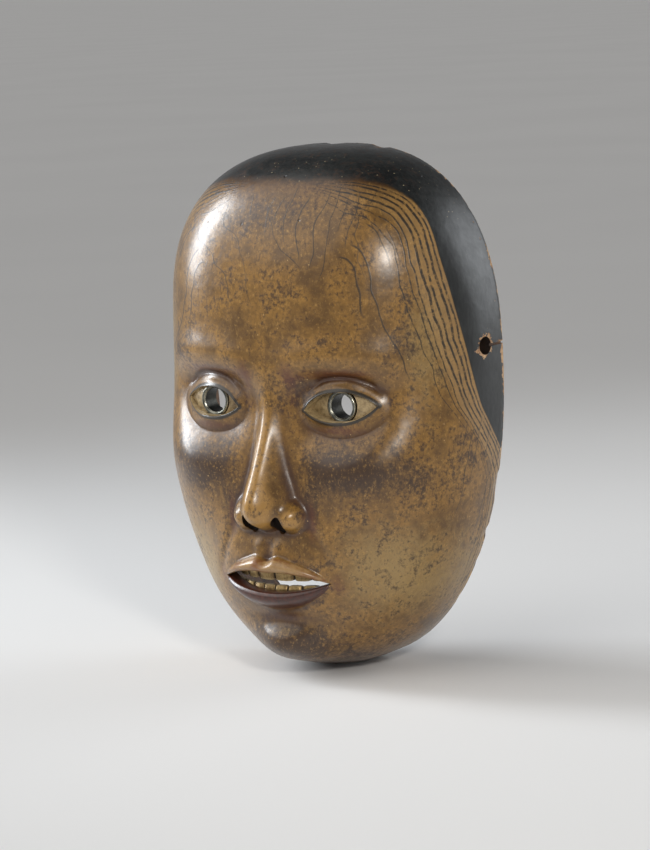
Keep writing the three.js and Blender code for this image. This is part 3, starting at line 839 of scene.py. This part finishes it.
# depth of the painted hair's front edge against the angle from the crown, in degrees
HAIR_EDGE = profile([
    (0, 44), (12, 43), (24, 37), (38, 28.5), (56, 29), (83, 23), (100, 17), (108, 10), (117, 0),
    (125, -6), (180, -7),
])

# where the lacquer is dark, pale and red, on both sides, the dark spots being patina except for the
# painted shade beside the nose wings and in the inner eye corners: strength, distance from the middle,
# height, and half the width and height of each soft spot
PATINA_AND_PAINTED_SHADE = {
    "shade": (
        (1.0, 36, EYE_Z - 25, 20, 11), (0.9, 0, CHIN_Z + 13, 26, 13), (0.5, 0, 82, 34, 12),
        (0.4, 50, EYE_Z + 22, 10, 8), (0.5, 19, NOSE_Z + 8, 5, 9), (0.45, 15, EYE_Z + 4, 6, 10),
    ),
    "pale": (
        (1.0, 46, MOUTH_Z + 4, 22, 24), (0.7, 0, MOUTH_Z - 20, 20, 6),
        (0.5, 0, NOSE_Z + 30, 7, 26), (0.8, 60, 30, 8, 30),
    ),
    "red": (
        (0.9, 18.5, NOSE_Z + 4, 3, 10), (0.9, EYE_X, EYE_Z + 13, 19, 3.5),
        (0.8, EYE_X, EYE_Z - 9, 17, 2.6), (0.8, 0, MOUTH_Z - 15, 15, 3),
        (0.7, 27, MOUTH_Z, 4, 7), (0.6, 10, EYE_Z + 10, 4, 14),
    ),
}
LACQUER_SKIN = 0.7


def store(obj, name, values):
    layer = obj.data.attributes.new(name, "FLOAT", "POINT")
    layer.data.foreach_set("value", np.asarray(values, np.float32))


def blurred(raster, radius):
    """A raster of 1 mm cells, smoothed by a bell of the radius."""
    reach_cells = int(3 * radius)
    weights = bell(np.arange(-reach_cells, reach_cells + 1), radius)
    weights /= weights.sum()
    padded = np.pad(raster, reach_cells, mode="edge")
    padded = np.apply_along_axis(np.convolve, 0, padded, weights, "valid")
    return np.apply_along_axis(np.convolve, 1, padded, weights, "valid")


def on_raster(raster, x, z):
    """The raster's value at places between its cells."""
    across = np.clip(x + WIDTH / 2, 0, raster.shape[0] - 1.001)
    up = np.clip(z + HEIGHT / 2, 0, raster.shape[1] - 1.001)
    i, j = across.astype(int), up.astype(int)
    s, t = across - i, up - j
    low = raster[i, j] * (1 - s) + raster[i + 1, j] * s
    high = raster[i, j + 1] * (1 - s) + raster[i + 1, j + 1] * s
    return low * (1 - t) + high * t


def record_shell(obj, front_surface):
    """Stores the attributes that the lacquer reads, and gives each face its material."""
    points = points_of(obj.data)
    x, depth, z = points[:, 0], -points[:, 1], points[:, 2]
    side = np.abs(x)
    off_front = np.array([front_surface.find_nearest(point)[3] for point in points])

    cells = [np.arange(extent + 1) - extent / 2 for extent in (WIDTH, HEIGHT)]
    heights = relief(*np.meshgrid(*cells, indexing="ij"))
    store(obj, "fine_relief", on_raster(heights - blurred(heights, 2.2), x, z))
    store(obj, "broad_relief", on_raster(heights - blurred(heights, 7), x, z))

    turn = np.degrees(np.arctan2(side, z - WIDEST_Z))
    hair = HAIR_EDGE(turn) - depth
    store(obj, "hair", hair)
    store(obj, "strand", hair / np.maximum(smooth(2, 36, turn), 0.08))
    store(obj, "crown", 1 - smooth(18, 44, turn))
    store(obj, "turn", turn)

    place = (side - EYE_X) / EYE_HALF
    upper, lower, _ = lid_edges(place)
    beyond = np.maximum(np.abs(place) - 1, 0) * EYE_HALF
    off_lid = np.hypot(np.maximum(np.maximum(z - EYE_Z - upper, lower - z + EYE_Z), 0), beyond)
    store(obj, "off_lid", np.where(np.abs(z - EYE_Z) < 14, off_lid, 20))
    eyeball = (off_lid < 0.4) & (depth < front_depth(x, z) - 0.2) & (depth > eyeball_depth(x, z) - 0.3)
    store(obj, "eyeball", eyeball)
    inner_lip = (side < MOUTH_HALF + 0.5) & (np.abs(z - MOUTH_Z) < 7) & (depth > arch_depth(x) + 0.2)
    lacquered = (off_front < LACQUER_SKIN) | eyeball | inner_lip
    ends = np.array([polygon.loop_total for polygon in obj.data.polygons]).cumsum()
    corners = np.empty(len(obj.data.loops), int)
    obj.data.loops.foreach_get("vertex_index", corners)
    counts = np.diff(ends, prepend=0)
    share = np.add.reduceat(lacquered[corners].astype(float), ends - counts) / counts
    obj.data.polygons.foreach_set("material_index", (share < 0.99).astype(int))

    upper_lip, lower_lip, t = lip_edges(x)
    up_high, low_high = lip_heights(x, side, t)
    dz = z - MOUTH_Z
    corner = 1 - smooth(0.93, 1.0, t)
    for name, start, over, height in (
        ("upper_lip", 0.75, dz - upper_lip, up_high), ("lower_lip", 0.8, lower_lip - dz, low_high),
    ):
        store(obj, name, (1 - smooth(start, 1.05, over / height)) * smooth(-2, 0, over) * corner)
    for name, spots in PATINA_AND_PAINTED_SHADE.items():
        spread = sum(
            strength * mound(side - across, z - up, half_x, half_z)
            for strength, across, up, half_x, half_z in spots
        )
        store(obj, name, np.clip(spread, 0, 1))


# ---- materials ----


def paint(*screen):
    """A colour given as its red, green and blue look on a screen, 0 to 255."""
    shares = [value / 255 for value in screen]
    linear = [share / 12.92 if share < 0.0392 else ((share + 0.055) / 1.055) ** 2.4 for share in shares]
    return (*linear, 1)


class Flow:
    """A value in a material's graph. Arithmetic on it adds the nodes that work the result out."""

    def __init__(self, tree, socket=None):
        self.tree, self.socket = tree, socket

    def node(self, kind, settings, inputs, output=0):
        made = self.tree.nodes.new(kind)
        for name, setting in settings.items():
            setattr(made, name, setting)
        for name, value in inputs.items():
            if isinstance(value, Flow):
                self.tree.links.new(value.socket, made.inputs[name])
            else:
                made.inputs[name].default_value = value
        return Flow(self.tree, made.outputs[output])

    def told(self, name):
        """What an attribute of the mesh says of each point."""
        return self.node("ShaderNodeAttribute", {"attribute_name": name}, {}, "Fac")

    def math(self, operation, *values):
        return self.node("ShaderNodeMath", {"operation": operation}, dict(enumerate(values)))

    def __add__(self, other):
        return self.math("ADD", self, other)

    def __sub__(self, other):
        return self.math("SUBTRACT", self, other)

    def __rsub__(self, other):
        return self.math("SUBTRACT", other, self)

    def __mul__(self, other):
        return self.math("MULTIPLY", self, other)

    def __truediv__(self, other):
        return self.math("DIVIDE", self, other)

    def __abs__(self):
        return self.math("ABSOLUTE", self)

    __radd__ = __add__
    __rmul__ = __mul__

    def floor(self):
        return self.math("FLOOR", self)

    def larger(self, other):
        return self.math("MAXIMUM", self, other)

    def swing(self, amount):
        """Noise that runs from 0 to 1 made to run to either side of 0, by half the amount."""
        return (self - 0.5) * amount

    def limited(self):
        """Kept between 0 and 1."""
        return self.math("MINIMUM", self.larger(0), 1)

    def smooth(self, start, end):
        """Rises from 0 at start to 1 at end, or falls where start is above end."""
        inputs = {"Value": self, "From Min": start, "From Max": end}
        return self.node("ShaderNodeMapRange", {"interpolation_type": "SMOOTHSTEP"}, inputs)

    def line(self, width, soft=0.12):
        """1 within half the width of 0, and 0 beyond it."""
        return abs(self).smooth(width / 2 + soft, width / 2 - soft)

    def between(self, first, second):
        """The first colour where this is 0 and the second where it is 1."""
        return self.node("ShaderNodeMix", {"data_type": "RGBA"}, {0: self, 6: first, 7: second}, 2)

    def over(self, colour, *screen):
        """A colour with paint laid over it as far as this is above 0."""
        return self.between(colour, paint(*screen))

    def length(self):
        return self.node("ShaderNodeVectorMath", {"operation": "LENGTH"}, {0: self}, "Value")

    def parts(self):
        return [self.node("ShaderNodeSeparateXYZ", {}, {0: self}, k) for k in range(3)]

    def together(self, *others):
        return self.node("ShaderNodeCombineXYZ", {}, dict(enumerate((self, *others))))

    def stretched(self, *factors):
        return self.node("ShaderNodeVectorMath", {"operation": "MULTIPLY"}, {0: self, 1: factors})

    def noise(self, size, detail=2, rough=0.5, twist=0):
        """Cloudy noise, 0 to 1, of a feature size in millimetres."""
        facts = {"Scale": 1 / size, "Detail": detail, "Roughness": rough, "Distortion": twist}
        return self.node("ShaderNodeTexNoise", {}, {"Vector": self, **facts})

    def chance(self, seed):
        """A random number, 0 to 1, for each whole number."""
        return self.node("ShaderNodeTexWhiteNoise", {"noise_dimensions": "1D"}, {"W": self + seed})

    def dots(self, spacing, radius, kept, stray=1):
        """Round dots with about one to a cell, of which a share is kept."""
        cells = {"Vector": self, "Scale": 1 / spacing, "Randomness": stray}
        distance = self.node("ShaderNodeTexVoronoi", {}, cells, "Distance")
        shade_of_cell = self.node("ShaderNodeTexVoronoi", {}, cells, "Color")
        pick = shade_of_cell.parts()
        size = (0.5 + pick[1]) * (radius / spacing)
        return (distance - size).smooth(0.04, -0.04) * (pick[0] - kept).smooth(0.01, -0.01)


def new_material(name):
    """A material's graph, its principled shader, and the place of each point in millimetres."""
    material = bpy.data.materials.new(name)
    material.use_nodes = True
    graph = Flow(material.node_tree)
    place = graph.node("ShaderNodeTexCoord", {}, {}, "Object").stretched(1000, 1000, 1000)
    return material, graph, material.node_tree.nodes["Principled BSDF"], place


def finish_material(graph, shader, colour, roughness, height, metallic=None, coat=None):
    """Joins the worked-out values to the shader. The height is in millimetres."""
    bump = graph.node("ShaderNodeBump", {}, {"Height": height, "Distance": MM, "Strength": 1})
    joined = {
        "Base Color": colour, "Roughness": roughness, "Normal": bump,
        "Metallic": metallic, "Coat Weight": coat,
    }
    for name, value in joined.items():
        if value is not None:
            graph.tree.links.new(value.socket, shader.inputs[name])


def strays(across, along, spacing, width, sway, span, seed):
    """Single hairs along one direction, one to a cell across it, each wandering and ending by itself."""
    cell = (across / spacing).floor()
    wander = (along / 9).together(cell * 7.3 + seed, 0).noise(1, 1) - 0.5
    offset = across - (cell + 0.5) * spacing + wander * sway
    start, end = span
    length = end - start
    first = start + cell.chance(seed) * (0.16 * length)
    last = end - cell.chance(seed + 31.7) * (0.75 * length)
    there = cell.chance(seed + 63.1).smooth(0.34, 0.36)
    return offset.line(width, 0.14) * (along - first).smooth(0, 3) * (along - last).smooth(0, -6) * there


def lacquer():
    """Gold-brown lacquer, the hair painted on it in black, and bare wood where it has chipped."""
    material, graph, shader, place = new_material("lacquer_on_cypress")
    x, y, z = place.parts()
    side, depth = abs(x), 0 - y
    told = graph.told

    blotch = place.noise(16, 3, 0.55, 0.6)
    mottle = place.noise(4.5, 4, 0.62, 0.4)
    speckle = place.noise(1.5, 4, 0.68)
    rubbed = place.stretched(1, 1, 0.25).noise(1.6, 3, 0.6)

    fine, broad = told("fine_relief"), told("broad_relief")
    raised = (fine * 0.75 + broad * 0.28 + mottle.swing(0.9)).smooth(0.05, 0.95)
    sunken = (fine * -0.8 + broad * -0.25 + mottle.swing(0.6)).smooth(0.05, 0.9)

    colour = (blotch * 0.6 + mottle * 0.4).smooth(0.36, 0.62).between(paint(92, 64, 25), paint(152, 111, 47))
    pale = (told("pale") * 0.95 + mottle.swing(1.1) + speckle.swing(0.5)).smooth(0.2, 1.0)
    colour = pale.over(colour, 152, 124, 74)
    colour = (raised * 0.9).over(colour, 168, 126, 62)
    # dark brown from the "shade" spots and noise: patina on forehead, cheekbones and chin, painted shade
    # beside the nose wings and in the inner eye corners
    wear_and_painted_shade = told("shade") * 1.1 + blotch.swing(1.5) + rubbed.swing(0.9) + speckle.swing(0.7)
    wear_and_painted_shade = wear_and_painted_shade.smooth(0.12, 0.85)
    colour = (wear_and_painted_shade * 0.92).over(colour, 50, 29, 15)
    fine_grain = place.stretched(1, 1, 0.6).noise(0.85, 3, 0.72)
    grime = speckle.swing(3) + mottle.swing(3.4) + blotch.swing(2.4) + fine_grain.swing(3)
    colour = (grime.smooth(-0.25, 1.1) * 0.86).over(colour, 50, 29, 12)
    gleam = fine_grain.swing(2.6) - speckle.swing(1.8)
    colour = (gleam.smooth(0.05, 0.9) * 0.55).over(colour, 190, 148, 80)
    red = (told("red") + mottle.swing(0.8) + speckle.swing(0.4)).smooth(0.25, 0.95)
    colour = (red * 0.72).over(colour, 92, 42, 22)
    colour = (sunken * 0.8).over(colour, 58, 30, 16)
    gold_dust = place.dots(3.4, 0.17, 0.4)
    colour = (gold_dust * 0.7).over(colour, 206, 170, 112)

    # lips, lid edges and the balls of the eyes
    lower_lip = (told("lower_lip") + mottle.swing(0.35)).smooth(0.35, 0.8)
    dark_lip = speckle.smooth(0.3, 0.7).between(paint(46, 20, 12), paint(78, 36, 22))
    colour = lower_lip.between(colour, dark_lip)
    upper_lip = (told("upper_lip") + mottle.swing(0.5)).smooth(0.35, 0.9)
    worn_lip = mottle.smooth(0.35, 0.65).between(paint(118, 72, 42), paint(168, 134, 88))
    colour = (upper_lip * 0.8).between(colour, worn_lip)
    off_lid = told("off_lid")
    eyeball = told("eyeball")
    gilt = (speckle * 0.5 + mottle * 0.5).smooth(0.35, 0.62).between(paint(112, 92, 62), paint(178, 156, 116))
    colour = eyeball.between(colour, gilt)
    liner = (off_lid + mottle.swing(0.7)).smooth(1.5, 0.9) * (1 - eyeball)
    colour = (liner * 0.92).over(colour, 26, 27, 24)

    # the painted hair: its band along the rim, the strands along its edge, and single hairs
    hair, strand, crown, turn = told("hair"), told("strand"), told("crown"), told("turn")
    ragged = (mottle.swing(5) + blotch.swing(7) + speckle.swing(3)) * crown
    band = (hair + ragged) / (0.25 + crown * 2.6)
    stain = ((hair + ragged * 1.4) / (0.3 + crown * 8)).smooth(-1.3, 0.4) * crown
    colour = (stain * 0.75).over(colour, 62, 30, 14)
    bright_gaps = strand.smooth(-13, -9) * hair.smooth(0.5, -0.5) * (1 - crown)
    colour = (bright_gaps * 0.45).over(colour, 172, 138, 90)
    sway = (turn / 7).together(0, 0).noise(1, 1) - 0.5
    lines = []  # each the strands so far, from their distances off the band and their widths
    for offset, width in (
        (1.5, 0.8), (3.5, 1.0), (6.0, 0.8), (8.2, 0.9), (10.6, 0.5), (12.4, 0.4), (15.4, 0.35),
    ):
        number = len(lines)
        own = (turn / 11 + number * 5.3).together(number, 0).noise(1, 1) - 0.5
        one = (strand + offset + sway * 1.2 + own * (1.6 + number * 0.4)).line(width, 0.16)
        lines.append(lines[-1].larger(one) if lines else one)
    inked = lines[-1] * turn.smooth(9, 20) * (mottle * 0.5 + speckle * 0.5).smooth(0.34, 0.54)
    warp = place.stretched(0.6, 0.6, 0.35).noise(17, 1).swing(16)
    down, middle = 0 - z, side.smooth(46, 36)
    beside_strands = strand.smooth(-30, -26) * strand.smooth(-14, -15)
    below_ear = depth.smooth(32, 22) * z.smooth(4, -4)
    # across, along, spacing, width, sway, span, seed, and where they show
    for *hairs, where in (
        (x + warp * 1.1, down, 4.4, 0.3, 2.4, (-95, -50), 3.1, middle),
        (x * 0.7 + (z * 0.35 + warp * 1.5), down, 9.3, 0.26, 5, (-93, -38), 11.9, middle),
        (strand + 30 + warp * 0.5, turn, 3.1, 0.38, 1.9, (26, 96), 5.4, beside_strands),
        (depth + z * 0.22 + warp * 0.6, down, 3.7, 0.42, 2.3, (-6, 50), 8.6, below_ear),
    ):
        inked = inked.larger(strays(*hairs) * where * 0.85)
    inked = inked.limited()
    colour = (inked * 0.94).over(colour, 26, 21, 16)

    hair_black = (blotch * 0.5 + rubbed * 0.5).smooth(0.35, 0.65)
    hair_black = hair_black.between(paint(13, 14, 14), paint(33, 35, 34))
    browned = crown * (speckle * 0.6 + mottle * 0.4).smooth(0.5, 0.68) * 0.5
    hair_black = browned.over(hair_black, 80, 50, 27)
    band = band.smooth(-1, 1)
    colour = band.between(colour, hair_black)
    top = z.smooth(70, 84)
    specks = place.dots(1.9, 0.17, 0.5) * (top * 0.9 + 0.1 * blotch.smooth(0.5, 0.56)) * band
    colour = (specks * 0.8).over(colour, 176, 160, 126)
    pits = place.dots(6.5, 0.42, 0.42) * z.smooth(58, 78)
    colour = (pits * 0.85).over(colour, 12, 9, 7)

    # bare wood where the lacquer has chipped off the rim and the cord holes
    nick = blotch.swing(9) + mottle.swing(7)
    rim_chip = (depth - nick - speckle.swing(2.5)).smooth(0.8, 0.5)
    rim_chip = rim_chip.larger(place.dots(3.1, 0.42, 0.35) * depth.smooth(5, 1))
    from_hole = (y + CORD_HOLE_DEPTH).together(z - CORD_HOLE_Z, 0).length()
    hole_chip = (from_hole + mottle.swing(11) + speckle.swing(4)).smooth(4.4, 4.1)
    path_chip = (abs(z - CORD_HOLE_Z) + speckle.swing(3) + mottle.swing(5)).smooth(0.7, 0.45)
    path_chip = path_chip * depth.smooth(CORD_HOLE_DEPTH, CORD_HOLE_DEPTH - 2)
    side_wall = side.smooth(WIDTH / 2 - 14, WIDTH / 2 - 10)
    chip = rim_chip.larger(hole_chip.larger(path_chip) * side_wall)
    bare = (speckle * 0.5 + rubbed * 0.5).smooth(0.35, 0.65)
    bare = bare.between(paint(150, 108, 72), paint(212, 178, 138))
    colour = (chip * 0.95).between(colour, bare)

    roughness = 0.35 + mottle.swing(0.26) + speckle.swing(0.16) + wear_and_painted_shade * 0.06
    roughness = roughness + band * 0.05 + chip * 0.4 + inked * 0.06
    height = (
        place.noise(7, 2).swing(0.22) + mottle.swing(0.05) + speckle.swing(0.022)
        - chip * 0.2 - pits * 0.28 + inked * 0.03
    )
    coat = (1 - chip) * (0.35 - band * 0.2)
    shader.inputs["Coat Roughness"].default_value = 0.2
    shader.inputs["IOR"].default_value = 1.52
    finish_material(graph, shader, colour, roughness.limited(), height, coat=coat)
    return material


def bare_wood():
    """Stained cypress with upright grain, with painted shade inside the cut holes and the deepest hollows."""
    material, graph, shader, place = new_material("stained_cypress")
    _, y, z = place.parts()
    depth = 0 - y
    blotch = place.noise(16, 3, 0.55, 0.6)
    mottle = place.noise(4.5, 4, 0.62, 0.4)
    grain = place.stretched(1, 1, 0.05).noise(1.3, 4, 0.6, 0.3)
    rings = place.stretched(1, 0.4, 0.035).noise(6, 2, 0.5, 0.5)
    colour = (grain * 0.6 + rings * 0.4).smooth(0.38, 0.62).between(paint(58, 36, 21), paint(112, 76, 46))
    colour = (blotch.smooth(0.5, 0.7) * 0.6).over(colour, 44, 27, 17)
    rubbed = depth.smooth(9, 1) * mottle.smooth(0.35, 0.6)
    colour = (rubbed * 0.5).over(colour, 140, 104, 68)
    from_hole = (y + CORD_HOLE_DEPTH).together(z - CORD_HOLE_Z, 0).length()
    # painted shade inside the cord holes and on all wood deeper than 57 mm
    painted_hole_shade = (from_hole - CORD_HOLE_RADIUS).smooth(0.3, 0.1).larger(depth.smooth(57, 60))
    colour = (painted_hole_shade * 0.93).over(colour, 22, 13, 8)
    roughness = 0.6 + grain.swing(0.2) + mottle.swing(0.15)
    finish_material(graph, shader, colour, roughness, grain.swing(0.18) + mottle.swing(0.1))
    return material


def dark_metal():
    """Bronze turned on a lathe and darkened, lighter along its front edges, with painted shade behind its
    front face.
    """
    material, graph, shader, place = new_material("darkened_bronze")
    x, y, z = place.parts()
    radius = (abs(x) - EYE_X).together(z - BUSH_Z, 0).length()
    turning = radius.together(y * 3, 0).noise(0.16, 2)
    stain = place.noise(2.2, 3, 0.6)
    edge = (radius + stain.swing(0.5)).smooth(BUSH_RADIUS - 0.55, BUSH_RADIUS - 0.2)
    lip_of_bore = (radius - stain.swing(0.4)).smooth(PUPIL_RADIUS + 0.75, PUPIL_RADIUS + 0.3)
    front_face = (0 - y).smooth(BUSH_FRONT - 1.1, BUSH_FRONT - 0.5)
    bright = edge.larger(lip_of_bore) * front_face
    colour = stain.smooth(0.35, 0.65).between(paint(72, 74, 70), paint(116, 116, 106))
    colour = (bright * 0.75).over(colour, 186, 184, 170)
    # painted shade on the bush's sides and on the wall of its bore, behind the front face
    colour = ((1 - front_face) * 0.8).over(colour, 30, 28, 25)
    roughness = 0.34 + stain.swing(0.25) + turning.swing(0.2) - bright * 0.08
    height = turning.swing(0.03) + stain.swing(0.03)
    finish_material(graph, shader, colour, roughness, height, metallic=0.9 - stain.swing(0.3))
    return material


def gilt_copper():
    """Thin gilding over copper, lighter along the biting edges of the teeth and dark between them."""
    material, graph, shader, place = new_material("worn_gilding")
    stain = place.noise(3.2, 4, 0.62, 0.4)
    speckle = place.noise(0.7, 3, 0.6)
    streak = place.stretched(1, 1, 0.22).noise(1.1, 3, 0.6)
    gap, biting, root = (graph.told(name) for name in ("gap", "biting", "root"))
    colour = (stain * 0.5 + streak * 0.5).smooth(0.36, 0.62).between(paint(116, 92, 58), paint(172, 146, 98))
    colour = (speckle.smooth(0.56, 0.7) * 0.5).over(colour, 74, 52, 30)
    dirt = (gap + stain.swing(0.5)).smooth(0.3, 0.85)
    colour = (dirt * 0.92).over(colour, 30, 18, 10)
    colour = ((root + streak.swing(0.7)).smooth(0.4, 1.0) * 0.7).over(colour, 62, 36, 20)
    colour = ((biting + speckle.swing(0.8)).smooth(0.5, 1.0) * 0.5).over(colour, 196, 172, 126)
    roughness = 0.36 + stain.swing(0.3) + dirt * 0.3 + speckle.swing(0.15)
    height = stain.swing(0.12) + speckle.swing(0.03)
    finish_material(graph, shader, colour, roughness, height, metallic=0.62 - dirt * 0.5)
    return material


def nail_copper():
    """Hammered copper gone brown, with a little green in its hollows."""
    material, graph, shader, place = new_material("brown_copper")
    facets = place.noise(0.8, 1)
    stain = place.noise(0.5, 3, 0.6)
    verdigris = facets.smooth(0.56, 0.68) * 0.5
    colour = stain.smooth(0.38, 0.62).between(paint(84, 48, 30), paint(140, 86, 56))
    colour = verdigris.over(colour, 70, 92, 74)
    roughness = 0.45 + stain.swing(0.3)
    finish_material(graph, shader, colour, roughness, facets.swing(0.22), metallic=0.85 - verdigris)
    return material


def pale_floor():
    material, graph, shader, place = new_material("pale_paper")
    cloud = place.noise(400, 2)
    fibre = place.noise(2, 3, 0.6)
    colour = cloud.smooth(0.3, 0.7).between((0.77, 0.765, 0.76, 1), (0.79, 0.785, 0.78, 1))
    finish_material(graph, shader, colour, 0.75 + fibre.swing(0.1), fibre.swing(0.05))
    return material


def record_plate(obj, plate):
    """Where a plate's gaps, biting edge and roots are."""
    points = points_of(obj.data)
    side, z = np.abs(points[:, 0]), points[:, 2] - MOUTH_Z
    share = share_of_tooth(plate, side)
    up = (z - plate["low"]) / (plate["high"] - plate["low"])
    to_biting = up if plate["bites"] < 0 else 1 - up
    behind = points[:, 1] + arch_depth(side) > PLATE_THICK - 0.2
    store(obj, "gap", np.where(behind, 0.45, np.abs(2 * share - 1) ** 5))
    store(obj, "biting", np.where(behind, 0, 1 - smooth(0, 0.22, to_biting)))
    store(obj, "root", np.where(behind, 0.5, smooth(0.55, 1, to_biting)))


def dress(obj, *materials):
    obj.data.materials.clear()
    for material in materials:
        obj.data.materials.append(material)


dress(shell, lacquer(), bare_wood())
record_shell(shell, front_surface)
bronze, gilding, copper = dark_metal(), gilt_copper(), nail_copper()
for bush in bushes:
    dress(bush, bronze)
for plate_piece, plate in zip(plates, PLATES.values()):
    record_plate(plate_piece, plate)
    dress(plate_piece, gilding)
for nail in nails:
    dress(nail, copper)

# ---- how the pieces stand for the frame's nodes ----

stands_for = [(shell, "mask_body", "lacquered_wood")]
stands_for += [(bush, f"pupil_bush_{word}", "dark_metal") for bush, word in zip(bushes, SIDES)]
stands_for += [(plate, name, "gilt_copper") for plate, name in zip(plates, PLATES)]
nail_nodes = [f"{name}_nail_{word}" for name in PLATES for word in SIDES]
stands_for += [(nail, node, "copper_nail") for nail, node in zip(nails, nail_nodes)]
for piece, node, slot in stands_for:
    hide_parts(node)
    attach(piece, "root")

# ---- floor, light and camera ----

FLOOR_WIDTH = 400  # in metres, so that its far edge lies at the horizon

clear_selection()
bpy.ops.mesh.primitive_plane_add(size=FLOOR_WIDTH, location=(0, 0, cad_box[0][2]))
floor = bpy.context.object
floor.name = "floor"
dress(floor, pale_floor())

world = bpy.data.worlds.new("room")
bpy.context.scene.world = world
world.use_nodes = True
room = Flow(world.node_tree)
upwards = room.node("ShaderNodeTexCoord", {}, {}, "Generated").parts()[2]
ceiling = upwards.smooth(0.1, 0.75).between((0.35, 0.353, 0.357, 1), (0.06, 0.063, 0.067, 1))
room.tree.links.new(ceiling.socket, world.node_tree.nodes["Background"].inputs["Color"])

sun = bpy.data.lights.new("skylight", "SUN")
sun.energy, sun.angle, sun.color = 1.35, 1.2, (1.0, 0.98, 0.95)
skylight = bpy.data.objects.new("skylight", sun)
skylight.rotation_euler = (math.radians(32), math.radians(-28), 0)
bpy.context.scene.collection.objects.link(skylight)


def softbox(name, place, target, size, power, colour):
    light = bpy.data.lights.new(name, "AREA")
    light.shape = "RECTANGLE"
    light.size, light.size_y = size
    light.energy = power
    light.spread = math.radians(80)
    light.color = colour
    obj = bpy.data.objects.new(name, light)
    obj.location = place
    obj.rotation_euler = (Vector(target) - Vector(place)).to_track_quat("-Z", "Y").to_euler()
    bpy.context.scene.collection.objects.link(obj)


softbox("window_left", (-0.9, -0.2, 0.4), (0, 0, 0), (0.28, 0.6), 1.9, (0.9, 0.95, 1.0))
softbox("lamp_right", (0.75, -0.7, 0.45), (0, 0, 0), (0.14, 0.14), 0.8, (1.0, 0.96, 0.9))
softbox("window_behind", (0.75, 0.85, 0.35), (0, 0, 0), (0.8, 0.8), 1.3, (0.92, 0.96, 1.0))

VIEW_AZIMUTH, VIEW_ELEVATION, VIEW_ROLL = (math.radians(angle) for angle in (33, 9, 2.5))
VIEW_DISTANCE, VIEW_AIM = 1.15, Vector((0, -0.02, -0.007))
bpy.context.scene.view_settings.view_transform = "Standard"
camera = bpy.data.objects.new("camera", bpy.data.cameras.new("camera"))
camera.data.lens = 120
bpy.context.scene.collection.objects.link(camera)
bpy.context.scene.camera = camera
towards_camera = Vector((
    math.sin(VIEW_AZIMUTH) * math.cos(VIEW_ELEVATION),
    -math.cos(VIEW_AZIMUTH) * math.cos(VIEW_ELEVATION),
    math.sin(VIEW_ELEVATION),
))
camera.location = VIEW_AIM + towards_camera * VIEW_DISTANCE
look = (-towards_camera).to_track_quat("-Z", "Y") @ Quaternion((0, 0, 1), -VIEW_ROLL)
camera.rotation_euler = look.to_euler()
